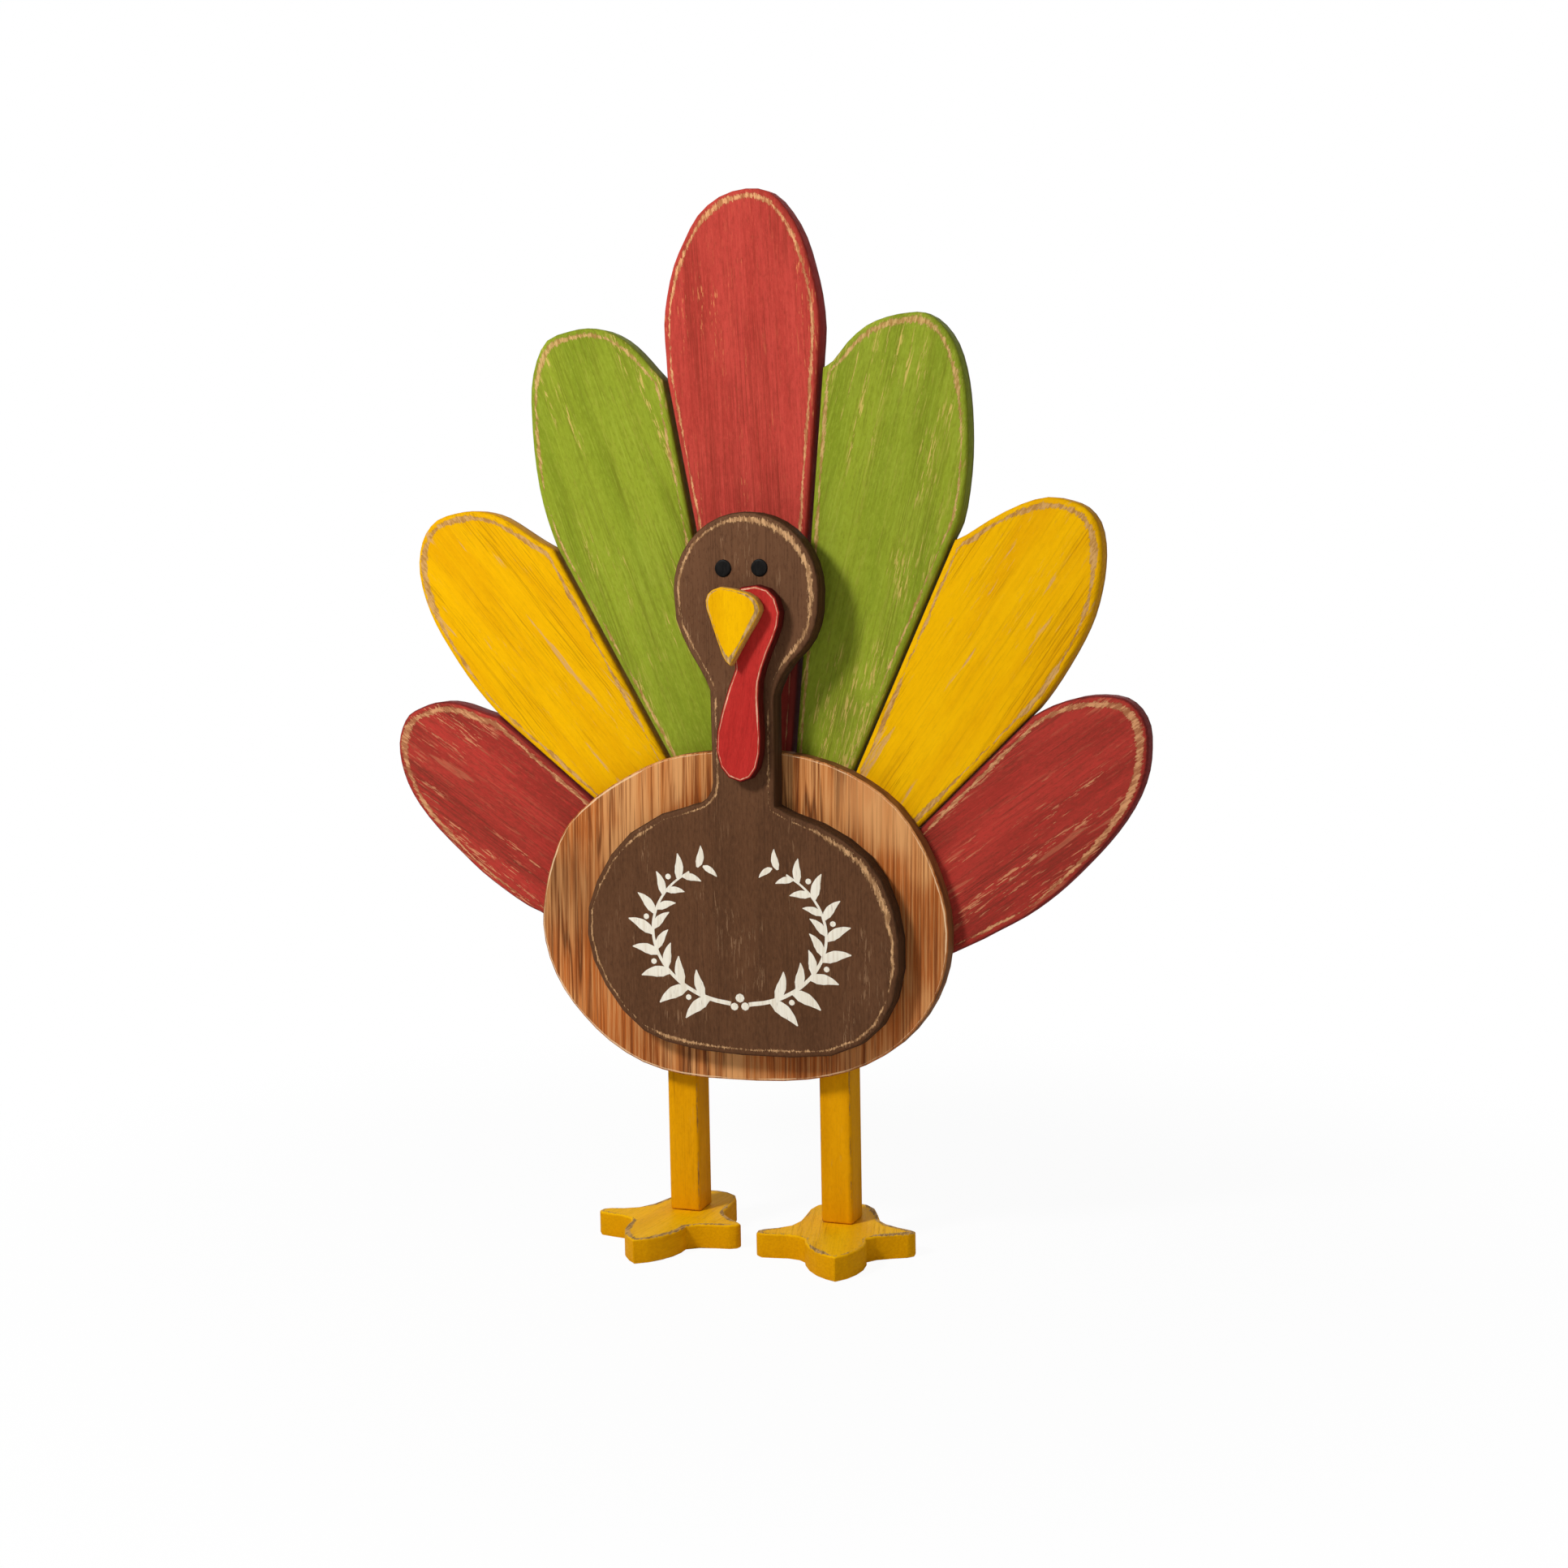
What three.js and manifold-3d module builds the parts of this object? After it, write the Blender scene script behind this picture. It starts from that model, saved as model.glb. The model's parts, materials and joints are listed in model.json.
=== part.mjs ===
import * as THREE from 'three';
import { mergeVertices } from 'three/addons/utils/BufferGeometryUtils.js';
import Module from 'manifold-3d';

// A standing turkey figure of painted boards: a body disc, a fan of tail feathers behind it, a head board
// in front of it, and two square legs on flat feet.
// Lengths are in millimetres, angles in degrees. +Z is up and -Y faces the viewer, whose left and right
// are meant throughout. Shares are parts of the size that their function takes them of.

// Thickness of each board, from the tail forward.
const featherThickness = 15;
const discThickness = 12;
const headThickness = 14;
const wattleThickness = 9;
const beakThickness = 8;

// How far the edges of each board are rounded over.
const featherRound = 2.6;
const discRound = 1.4;
const headRound = 2.4;
const wattleRound = 1.8;
const beakRound = 1.5;
const footRound = 1.4;
const legRound = 1;

// Feet: one pattern, cut twice. The pivot is where the leg stands.
const footLength = 114.45;
const footWidth = 92.6;
const footThickness = 14.6;
const pivotAcrossShare = 0.525;
const pivotAlongShare = 0.338;
const leftFootYaw = 3.4;
const rightFootYaw = 16.3;
const footSpare = 4.4;

// Legs: square posts, lapped behind the disc.
const legWidth = 19.6;
const legCornerRadius = 2.2;
const legLength = 134.9;
const legLap = 50;
const swivelGap = 0.3;

// Disc, and the hub: the point above its middle from which the boards in front and behind are set out.
const discWidth = 256.6;
const discHeight = 195;
const discShift = -4.5;
const hubRise = 2.7;

// Tail: how far it reaches from the hub, the gap between neighbouring feathers, and how far from the hub
// the roots of the lowest pair and of the others end.
const tailReach = 416;
const seamGap = 3;
const lowRoot = 54;
const highRoot = 40;

// Head board: a round head, a straight neck and a wide belly in one piece.
const headDiameter = 89.4;
const headShift = 8.4;
const headRise = 187.4;
const neckWidth = 38.6;
const neckShift = 5;
const neckTopDrop = 63.5;
const neckFillet = 13;
const bellyWidth = 195.2;
const bellyHeight = 146.2;
const bellyShift = 0.9;
const bellyDrop = 82.2;

// Wattle, beak and eyes, set out from the middle of the head.
const wattleWidth = 41;
const wattleHeight = 112.4;
const wattleShift = 4.4;
const wattleTop = 3.4;
const beakWidth = 33.1;
const beakHeight = 44.7;
const beakShift = -0.75;
const beakTop = 2.6;
const eyeDiameter = 10;
const eyeThickness = 0.9;
const eyeSpacing = 22.2;
const eyeShift = -1.7;
const eyeRise = 12.8;

// Fasteners.
const screwDiameter = 4;
const screwHeadDiameter = 8;
const screwHeadHeight = 2.2;
const screwTip = 4;
const discBite = 9;
const headBite = 10;
const featherScrewInset = 14;
const featherScrewPitch = 22;
const footScrewDiameter = 4.5;
const footScrewHeadDiameter = 9;
const footScrewHeadDepth = 3;
const footScrewRecess = 1;
const footScrewBite = 26;
const bradDiameter = 1.8;
const bradHeadDiameter = 3;
const bradHeadHeight = 0.6;
const bradTip = 2;
const bradSink = 0.9;
const wattleBite = 6;
const beakBite = 5;
const holeClearance = 0.3;
const holeOverrun = 2;

// Fineness.
const screwSides = 8;
const eyeSides = 20;
const roundSteps = 2;
const curveSteps = 2;
const headSteps = 18;
const cornerSteps = 3;
const filletSteps = 4;

// The lines between neighbouring feathers, from the lower left round to the lower right. Each leans from
// the vertical, passes the hub at its distance aside, and runs out to its reach, where the tips part: both
// are shares of the tail's reach.
const seams = [
  { lean: -62, asideShare: -0.174, reachShare: 0.2909, gapShare: 0 },
  { lean: -51.3, asideShare: -0.037, reachShare: 0.4784, gapShare: 0.43 },
  { lean: -29.5, asideShare: -0.0069, reachShare: 0.5938, gapShare: 1 },
  { lean: -10.5, asideShare: 0.018, reachShare: 0.7548, gapShare: 1 },
  { lean: 5.3, asideShare: 0.0421, reachShare: 0.7596, gapShare: 1 },
  { lean: 24.8, asideShare: 0.0551, reachShare: 0.593, gapShare: 0.7 },
  { lean: 45.8, asideShare: 0.0841, reachShare: 0.4849, gapShare: 0.37 },
  { lean: 64, asideShare: 0.1738, reachShare: 0.2892, gapShare: 0 },
];

// The feathers between those lines. A tip rises beyond the line across its two seam ends by a share of the
// tail's reach, and is drawn in shares of that line and of that rise.
const feathers = [
  {
    name: 'feather_red_left', color: 0x9c3a22, riseShare: 0.2483, root: lowRoot,
    tipShares: [
      [-0.02, 0.1], [-0.03, 0.28], [-0.025, 0.46], [0, 0.6], [0.04, 0.78], [0.1, 0.91], [0.18, 0.98],
      [0.28, 1], [0.39, 0.98], [0.5, 0.92], [0.61, 0.83], [0.71, 0.7], [0.8, 0.565], [0.87, 0.43],
      [0.92, 0.295], [0.96, 0.14],
    ],
  },
  {
    name: 'feather_yellow_left', color: 0xd9a514, riseShare: 0.2322, root: highRoot,
    tipShares: [
      [-0.01, 0.14], [-0.01, 0.33], [0.01, 0.53], [0.04, 0.7], [0.09, 0.83], [0.17, 0.94], [0.27, 0.99],
      [0.38, 0.99], [0.5, 0.935], [0.63, 0.81], [0.73, 0.69], [0.8, 0.58], [0.86, 0.455], [0.91, 0.29],
      [0.955, 0.13],
    ],
  },
  {
    name: 'feather_green_left', color: 0x8f9a1e, riseShare: 0.2163, root: highRoot,
    tipShares: [
      [0, 0.19], [0.02, 0.39], [0.07, 0.6], [0.13, 0.77], [0.19, 0.9], [0.28, 0.985], [0.39, 1],
      [0.54, 0.885], [0.66, 0.765], [0.76, 0.63], [0.85, 0.46], [0.91, 0.3], [0.96, 0.13],
    ],
  },
  {
    name: 'feather_centre', color: 0xb4321f, riseShare: 0.25, root: highRoot,
    tipShares: [
      [0, 0.12], [0, 0.3], [0.03, 0.45], [0.09, 0.62], [0.17, 0.75], [0.27, 0.88], [0.42, 0.97], [0.6, 1],
      [0.75, 0.97], [0.86, 0.86], [0.94, 0.72], [0.99, 0.55], [1.02, 0.4], [1.03, 0.22], [1.01, 0.07],
    ],
  },
  {
    name: 'feather_green_right', color: 0x8f9a1e, riseShare: 0.2089, root: highRoot,
    tipShares: [
      [0.05, 0.1], [0.11, 0.29], [0.2, 0.5], [0.31, 0.68], [0.43, 0.84], [0.53, 0.95], [0.64, 1],
      [0.74, 0.99], [0.82, 0.92], [0.88, 0.82], [0.935, 0.68], [0.98, 0.52], [1.01, 0.33], [1.02, 0.13],
    ],
  },
  {
    name: 'feather_yellow_right', color: 0xd9a514, riseShare: 0.218, root: highRoot,
    tipShares: [
      [0.04, 0.09], [0.11, 0.29], [0.22, 0.55], [0.335, 0.75], [0.455, 0.88], [0.56, 0.965], [0.67, 1],
      [0.77, 0.97], [0.85, 0.9], [0.912, 0.81], [0.966, 0.69], [0.996, 0.55], [1.012, 0.37], [1.017, 0.2],
      [1.01, 0.06],
    ],
  },
  {
    name: 'feather_red_right', color: 0x9c3a22, riseShare: 0.2532, root: lowRoot,
    tipShares: [
      [0.02, 0.14], [0.08, 0.345], [0.15, 0.51], [0.25, 0.69], [0.36, 0.82], [0.48, 0.916], [0.6, 0.9665],
      [0.71, 0.989], [0.81, 0.968], [0.89, 0.9], [0.945, 0.803], [0.985, 0.685], [1.018, 0.55],
      [1.033, 0.42], [1.033, 0.28], [1.014, 0.12],
    ],
  },
];

// Where the screws of a root lie between its two edges, and those of a leg down its lap.
const rootScrewShares = [0.32, 0.68];
const legScrewShares = [0.28, 0.72];

// Disc outline, clockwise from the top, in shares of half its width and height.
const discShares = [
  [0, 1], [0.23, 0.99], [0.44, 0.93], [0.62, 0.82], [0.76, 0.68], [0.87, 0.48], [0.94, 0.28], [0.985, 0.07],
  [0.99, -0.16], [0.955, -0.36], [0.88, -0.55], [0.76, -0.725], [0.6, -0.86], [0.42, -0.945], [0.2, -0.99],
  [-0.06, -1], [-0.3, -0.99], [-0.5, -0.93], [-0.67, -0.81], [-0.8, -0.66], [-0.9, -0.5], [-0.97, -0.31],
  [-1, -0.1], [-0.985, 0.09], [-0.94, 0.31], [-0.86, 0.52], [-0.71, 0.7], [-0.54, 0.835], [-0.36, 0.94],
  [-0.18, 0.985],
];
const headScrewShares = [[0, 0.2], [-0.23, -0.4], [0.23, -0.4]];

// Belly outline from the neck's right foot round to its left foot, in shares of half the belly's width and
// of its height.
const bellyShares = [
  [0.34, 0.968], [0.51, 0.93], [0.67, 0.873], [0.8, 0.805], [0.89, 0.725], [0.96, 0.61], [0.995, 0.49],
  [0.995, 0.37], [0.955, 0.25], [0.87, 0.145], [0.75, 0.07], [0.56, 0.018], [0.3, 0.002], [0, 0],
  [-0.28, 0.01], [-0.5, 0.037], [-0.64, 0.075], [-0.78, 0.155], [-0.89, 0.255], [-0.965, 0.355],
  [-1, 0.46], [-0.99, 0.57], [-0.93, 0.68], [-0.83, 0.79], [-0.7, 0.88], [-0.49, 0.96], [-0.33, 0.99],
];

// The head's lower sides, drawn in to the neck: shares of the step from the neck's side to the head's and
// of the drop from the middle of the head to the top of the neck.
const leftTaperShares = [[0.02, 0.1], [0.14, 0.2], [0.31, 0.305], [0.54, 0.435], [0.77, 0.59], [0.94, 0.745]];
const rightTaperShares = [
  [0.03, 0.05], [0.09, 0.13], [0.2, 0.235], [0.39, 0.35], [0.64, 0.46], [0.81, 0.565], [0.92, 0.68],
  [0.98, 0.8],
];

// Wattle and beak outlines in shares of their own width and height.
const wattleShares = [
  [0.43, 0.99], [0.65, 1], [0.82, 0.98], [0.94, 0.935], [1, 0.86], [0.97, 0.79], [0.9, 0.725],
  [0.81, 0.655], [0.73, 0.58], [0.675, 0.51], [0.66, 0.43], [0.67, 0.33], [0.68, 0.23], [0.665, 0.145],
  [0.61, 0.07], [0.51, 0.02], [0.36, 0], [0.18, 0.022], [0.06, 0.075], [0, 0.16], [0.02, 0.26],
  [0.1, 0.37], [0.2, 0.48], [0.31, 0.575], [0.3, 0.66], [0.23, 0.76], [0.19, 0.86], [0.26, 0.95],
];
const wattleBradShares = [[0.36, 0.3], [0.77, 0.88]];
const beakShares = [
  [0.43, 0], [0.35, 0.055], [0.29, 0.13], [0.185, 0.35], [0.08, 0.58], [0.01, 0.73], [0, 0.83],
  [0.04, 0.91], [0.13, 0.965], [0.28, 1], [0.51, 0.975], [0.77, 0.92], [0.9, 0.86], [0.98, 0.77],
  [1, 0.7], [0.95, 0.62], [0.87, 0.52], [0.76, 0.4], [0.6, 0.21], [0.49, 0.07],
];
const beakBradShare = [0.51, 0.6];

// Foot outline from the tip of the front toe round to the right, in shares of the foot's width and length.
const footShares = [
  [0.525, 1], [0.6, 0.949], [0.654, 0.884], [0.69, 0.81], [0.703, 0.74], [0.698, 0.678], [0.762, 0.635],
  [0.86, 0.61], [0.951, 0.595], [0.995, 0.57], [1, 0.54], [0.97, 0.516], [0.892, 0.47],
  [0.816, 0.413], [0.77, 0.346], [0.75, 0.233], [0.724, 0.12], [0.677, 0.052], [0.6, 0.012],
  [0.514, 0], [0.417, 0.014], [0.341, 0.062], [0.303, 0.137], [0.282, 0.25], [0.26, 0.355],
  [0.206, 0.442], [0.125, 0.486], [0.044, 0.508], [0.004, 0.534], [0, 0.569], [0.028, 0.6],
  [0.114, 0.61], [0.2, 0.617], [0.271, 0.643], [0.314, 0.69], [0.323, 0.748], [0.352, 0.827],
  [0.4, 0.901], [0.46, 0.958],
];

// Profiles as shares of a fastener's head or of an eye: across from the axis, and along it.
const domeShares = [[0, 1], [0.55, 0.85], [0.9, 0.4], [1, 0]];
const eyeShares = [[0, 1], [0.7, 0.95], [0.95, 0.6], [1, 0]];

const legY = (footLength * (1 - pivotAlongShare) * Math.cos(radians(leftFootYaw))
  - footLength * pivotAlongShare) / 2;
const legSpacing = footWidth + footSpare;
const legBottom = footThickness + swivelGap;
const legTop = legBottom + legLength;
const discMiddle = legTop - legLap + discHeight / 2;
const discBack = legY - legWidth / 2;
const hubHeight = discMiddle + hubRise;

const wasm = await Module();
wasm.setup();

function radians(degrees) {
  return THREE.MathUtils.degToRad(degrees);
}

function leanVector(degrees) {
  return new THREE.Vector2(Math.sin(radians(degrees)), Math.cos(radians(degrees)));
}

// A curve through points.
function smooth(points, closed) {
  const knots = points.map((point) => new THREE.Vector3(point.x, point.y, 0));
  const curve = new THREE.CatmullRomCurve3(knots, closed, 'centripetal');
  const spans = closed ? knots.length : knots.length - 1;
  const run = curve.getPoints(spans * curveSteps).map((point) => new THREE.Vector2(point.x, point.y));
  return closed ? run.slice(0, run.length - 1) : run;
}

// A board with its outline in X and Y, from Z 0 up to its thickness, its edges rounded over.
function board(outline, thickness, round) {
  const geometry = new THREE.ExtrudeGeometry(new THREE.Shape(outline), {
    depth: thickness - 2 * round,
    bevelEnabled: true,
    bevelThickness: round,
    bevelSize: round,
    bevelOffset: -round,
    bevelSegments: roundSteps,
  });
  return geometry.translate(0, 0, round);
}

function mesh(name, geometry, color, roughness, metalness) {
  const piece = new THREE.Mesh(geometry, new THREE.MeshStandardMaterial({ color, roughness, metalness }));
  piece.name = name;
  return piece;
}

function wood(name, geometry, color) {
  return mesh(name, geometry, color, 0.7, 0);
}

function steel(name, geometry) {
  return mesh(name, geometry, 0x8c8a84, 0.4, 1);
}

// Stands a board up, so that its outline's Y runs up and its face looks at the viewer.
function upright(piece, back) {
  piece.rotation.x = Math.PI / 2;
  piece.position.y = back;
  return piece;
}

function solid(geometry) {
  const bare = geometry.clone();
  bare.deleteAttribute('normal');
  bare.deleteAttribute('uv');
  const merged = mergeVertices(bare);
  const corners = merged.index.array;
  const kept = [];
  for (let i = 0; i < corners.length; i += 3) {
    const [a, b, c] = [corners[i], corners[i + 1], corners[i + 2]];
    if (a !== b && b !== c && c !== a) {
      kept.push(a, b, c);
    }
  }
  const vertProperties = new Float32Array(merged.attributes.position.array);
  const triVerts = new Uint32Array(kept);
  return new wasm.Manifold(new wasm.Mesh({ numProp: 3, vertProperties, triVerts }));
}

// Cuts the hole of each fastener out of a board, where the two stand in the figure.
function drill(piece, fasteners) {
  const toPiece = piece.matrixWorld.clone().invert();
  let body = solid(piece.geometry);
  for (const fastener of fasteners) {
    const toBoard = toPiece.clone().multiply(fastener.piece.matrixWorld);
    body = body.subtract(solid(fastener.hole.clone().applyMatrix4(toBoard)));
  }
  const { vertProperties, triVerts } = body.getMesh();
  piece.geometry = new THREE.BufferGeometry();
  piece.geometry.setAttribute('position', new THREE.Float32BufferAttribute(vertProperties, 3));
  piece.geometry.setIndex(Array.from(triVerts));
  piece.geometry.computeVertexNormals();
}

function turned(profile, sides) {
  return new THREE.LatheGeometry(profile.map(([across, along]) => new THREE.Vector2(across, along)), sides);
}

// A fastener with a domed head, driven towards -Y with its seat at Y 0.
function driven(name, length, diameter, headDiameter, headHeight, tip) {
  const head = domeShares.map(([across, along]) => [across * headDiameter / 2, along * headHeight]);
  const shank = [[diameter / 2, 0], [diameter / 2, tip - length], [0, -length]];
  return steel(name, turned([...head, ...shank].reverse(), screwSides));
}

// The corner radius of a hole whose flats clear a round of some diameter, however it is turned.
function clear(diameter) {
  return (diameter / 2 + holeClearance) / Math.cos(Math.PI / screwSides);
}

// A screw whose head stands on the wood, and the hole that it needs.
function screw(name, length) {
  const radius = clear(screwDiameter);
  const end = -length - holeClearance;
  const hole = [[0, holeOverrun], [radius, holeOverrun], [radius, end], [0, end]];
  return {
    piece: driven(name, length, screwDiameter, screwHeadDiameter, screwHeadHeight, screwTip),
    hole: turned(hole.reverse(), screwSides),
  };
}

// A brad whose head is let into the wood, and the stepped hole that it needs.
function brad(name, length) {
  const mouth = clear(bradHeadDiameter);
  const radius = clear(bradDiameter);
  const end = -length - holeClearance;
  const hole = [
    [0, holeOverrun], [mouth, holeOverrun], [mouth, -holeClearance], [radius, -holeClearance], [radius, end],
    [0, end],
  ];
  return {
    piece: driven(name, length, bradDiameter, bradHeadDiameter, bradHeadHeight, bradTip),
    hole: turned(hole.reverse(), screwSides),
  };
}

// The foot's screw: a flat head let into the sole, with its shank up into the leg.
function footScrew(name) {
  const length = legBottom + footScrewBite - footScrewRecess;
  const headRadius = footScrewHeadDiameter / 2;
  const shankRadius = footScrewDiameter / 2;
  const neck = -footScrewHeadDepth;
  const holeHead = clear(footScrewHeadDiameter);
  const holeShank = clear(footScrewDiameter);
  const holeEnd = -length - holeClearance;
  const profile = [
    [0, 0], [headRadius, 0], [shankRadius, neck], [shankRadius, screwTip - length], [0, -length],
  ];
  const hole = [
    [0, holeOverrun], [holeHead, holeOverrun], [holeHead, 0], [holeShank, neck], [holeShank, holeEnd],
    [0, holeEnd],
  ];
  return {
    piece: steel(name, turned(profile.reverse(), screwSides)),
    hole: turned(hole.reverse(), screwSides),
  };
}

// How far aside of the hub an edge beside a seam passes.
function edgeAside(seam, side) {
  return seam.asideShare * tailReach + side * seam.gapShare * seamGap / 2;
}

function seamPoint(seam, side, reach) {
  const along = leanVector(seam.lean);
  const across = new THREE.Vector2(along.y, -along.x);
  return across.multiplyScalar(edgeAside(seam, side)).addScaledVector(along, reach);
}

// How far out on a seam a feather of a given lean has come when it is a distance from the hub.
function seamReach(seam, side, lean, distance) {
  const turn = radians(lean - seam.lean);
  return (distance - edgeAside(seam, side) * Math.sin(turn)) / Math.cos(turn);
}

// A place on a feather, a distance out from the hub and a share of the way between its two edges.
function featherPlace(left, right, distance, share) {
  const lean = (left.lean + right.lean) / 2;
  const start = seamPoint(left, 1, seamReach(left, 1, lean, distance));
  return start.lerp(seamPoint(right, -1, seamReach(right, -1, lean, distance)), share);
}

function featherOutline(feather, left, right) {
  const start = seamPoint(left, 1, left.reachShare * tailReach);
  const end = seamPoint(right, -1, right.reachShare * tailReach);
  const rise = leanVector((left.lean + right.lean) / 2).multiplyScalar(feather.riseShare * tailReach);
  const tip = feather.tipShares.map(([across, along]) => (
    start.clone().lerp(end, across).addScaledVector(rise, along)));
  const rootLeft = featherPlace(left, right, feather.root, 0);
  const rootRight = featherPlace(left, right, feather.root, 1);
  return [rootLeft, ...smooth([start, ...tip, end], false), rootRight];
}

function discOutline() {
  const points = discShares.map(([across, up]) => new THREE.Vector2(
    discShift + across * discWidth / 2,
    up * discHeight / 2 - hubRise));
  return smooth(points, true);
}

function headArc() {
  const points = [];
  for (let i = 0; i <= headSteps; i += 1) {
    const angle = Math.PI * (1 - i / headSteps);
    points.push(new THREE.Vector2(
      headShift + Math.cos(angle) * headDiameter / 2,
      headRise + Math.sin(angle) * headDiameter / 2));
  }
  return points;
}

function taper(side, shares) {
  const neckX = neckShift + side * neckWidth / 2;
  const headX = headShift + side * headDiameter / 2;
  const bottom = headRise - neckTopDrop;
  return shares.map(([out, up]) => new THREE.Vector2(
    neckX + out * (headX - neckX),
    bottom + up * neckTopDrop));
}

// The hollow corner where the left side of the neck runs out into the belly.
function neckCorner() {
  const neckX = neckShift - neckWidth / 2;
  const top = bellyHeight - bellyDrop;
  const points = [];
  for (let i = 0; i <= filletSteps; i += 1) {
    const angle = Math.PI / 2 * i / filletSteps;
    points.push(new THREE.Vector2(
      neckX - neckFillet * (1 - Math.sin(angle)),
      top + neckFillet * (1 - Math.cos(angle))));
  }
  return points;
}

function headOutline() {
  const belly = bellyShares.map(([across, up]) => new THREE.Vector2(
    bellyShift + across * bellyWidth / 2,
    up * bellyHeight - bellyDrop));
  const neckRight = neckShift + neckWidth / 2;
  const neckFoot = new THREE.Vector2(neckRight, bellyHeight - bellyDrop);
  return [
    ...headArc(),
    ...taper(1, rightTaperShares).reverse(),
    neckFoot,
    ...belly,
    ...neckCorner(),
    ...taper(-1, leftTaperShares),
  ];
}

// Places in shares of a box whose middle line and top are given.
function inBox(shares, middle, top, width, height) {
  return shares.map(([across, up]) => new THREE.Vector2(
    middle + (across - 0.5) * width,
    top + (up - 1) * height));
}

function inWattle(shares) {
  return inBox(shares, headShift + wattleShift, headRise + wattleTop, wattleWidth, wattleHeight);
}

function inBeak(shares) {
  return inBox(shares, headShift + beakShift, headRise + beakTop, beakWidth, beakHeight);
}

function footOutline() {
  return footShares.map(([across, along]) => new THREE.Vector2(
    (across - pivotAcrossShare) * footWidth,
    (pivotAlongShare - along) * footLength));
}

function legOutline() {
  const half = legWidth / 2 - legCornerRadius;
  const points = [];
  for (let corner = 0; corner < 4; corner += 1) {
    const turn = corner * Math.PI / 2;
    const middle = new THREE.Vector2(half, half).rotateAround(new THREE.Vector2(), turn);
    for (let i = 0; i <= cornerSteps; i += 1) {
      const angle = turn + Math.PI / 2 * i / cornerSteps;
      const offset = new THREE.Vector2(Math.cos(angle), Math.sin(angle)).multiplyScalar(legCornerRadius);
      points.push(offset.add(middle));
    }
  }
  return points;
}

// Everything between the legs and the head, set out from the hub on the disc's back.
const upper = new THREE.Group();
upper.position.set(0, discBack, hubHeight);

const headBack = -discThickness;
const wattleBack = headBack - headThickness;
const beakBack = wattleBack - wattleThickness;

const disc = upright(wood('body_disc', board(discOutline(), discThickness, discRound), 0xc98a4a), 0);
const headBoard = upright(
  wood('head_board', board(headOutline(), headThickness, headRound), 0x5a321d), headBack);
const wattle = upright(
  wood('wattle', board(inWattle(wattleShares), wattleThickness, wattleRound), 0xb0262b), wattleBack);
const beak = upright(wood('beak', board(inBeak(beakShares), beakThickness, beakRound), 0xe8b90c), beakBack);
upper.add(disc, headBoard, wattle, beak);

// Eyes: small domed black discs, flat on the head board.
for (const [name, side] of [['left_eye', -1], ['right_eye', 1]]) {
  const profile = eyeShares.map(([across, along]) => [across * eyeDiameter / 2, along * eyeThickness]);
  const eye = mesh(name, turned([...profile, [0, 0]].reverse(), eyeSides), 0x111111, 0.35, 0);
  eye.rotation.x = Math.PI;
  eye.position.set(headShift + eyeShift + side * eyeSpacing / 2, wattleBack, headRise + eyeRise);
  upper.add(eye);
}

const jobs = [];

function fasten(group, fastener, x, y, z, boards) {
  fastener.piece.position.set(x, y, z);
  group.add(fastener.piece);
  jobs.push({ fastener, boards });
}

// Feathers, each with two screws through its root into the disc.
feathers.forEach((feather, i) => {
  const [left, right] = [seams[i], seams[i + 1]];
  const outline = featherOutline(feather, left, right);
  const piece = wood(feather.name, board(outline, featherThickness, featherRound), feather.color);
  upper.add(upright(piece, featherThickness));
  rootScrewShares.forEach((share, j) => {
    const distance = feather.root + featherScrewInset + j * featherScrewPitch;
    const place = featherPlace(left, right, distance, share);
    const fastener = screw(`${feather.name}_screw_${j + 1}`, featherThickness + discBite);
    fasten(upper, fastener, place.x, featherThickness, place.y, [piece, disc]);
  });
});

// Screws from the disc's back into the belly of the head board.
headScrewShares.forEach(([across, up], i) => {
  const x = discShift + across * discWidth / 2;
  const z = up * discHeight / 2 - hubRise;
  fasten(upper, screw(`head_board_screw_${i + 1}`, discThickness + headBite), x, 0, z, [disc, headBoard]);
});

// Brads from the back of the head board into the wattle and the beak, with their heads sunk.
const bradSeat = headBack - bradSink;
inWattle(wattleBradShares).forEach((place, i) => {
  const fastener = brad(`wattle_brad_${i + 1}`, headThickness + wattleBite - bradSink);
  fasten(upper, fastener, place.x, bradSeat, place.y, [headBoard, wattle]);
});
const [beakPlace] = inBeak([beakBradShare]);
const beakBrad = brad('beak_brad', headThickness + wattleThickness + beakBite - bradSink);
fasten(upper, beakBrad, beakPlace.x, bradSeat, beakPlace.y, [headBoard, wattle, beak]);

// A leg with its foot. The foot turns about the one screw that holds it.
function stand(name, side, yaw) {
  const group = new THREE.Group();
  group.position.set(side * legSpacing / 2, legY, 0);
  const leg = wood(`${name}_leg`, board(legOutline(), legLength, legRound), 0xd29a10);
  leg.position.z = legBottom;
  const foot = wood(`${name}_foot`, board(footOutline(), footThickness, footRound), 0xd8a218);
  const swivel = new THREE.Group();
  swivel.rotation.z = side * radians(yaw);
  swivel.add(foot);
  group.add(leg, swivel);
  const pivot = footScrew(`${name}_foot_screw`);
  pivot.piece.rotation.x = -Math.PI / 2;
  fasten(group, pivot, 0, 0, footScrewRecess, [foot, leg]);
  legScrewShares.forEach((share, i) => {
    const fastener = screw(`${name}_leg_screw_${i + 1}`, legWidth + discBite);
    fasten(group, fastener, 0, legWidth / 2, legTop - share * legLap, [leg, disc]);
  });
  return group;
}

const turkey = new THREE.Group();
turkey.add(upper, stand('left', -1, leftFootYaw), stand('right', 1, rightFootYaw));
turkey.updateMatrixWorld(true);

const drilled = new Set(jobs.flatMap((job) => job.boards));
for (const piece of drilled) {
  drill(piece, jobs.filter((job) => job.boards.includes(piece)).map((job) => job.fastener));
}

export default turkey;
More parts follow.
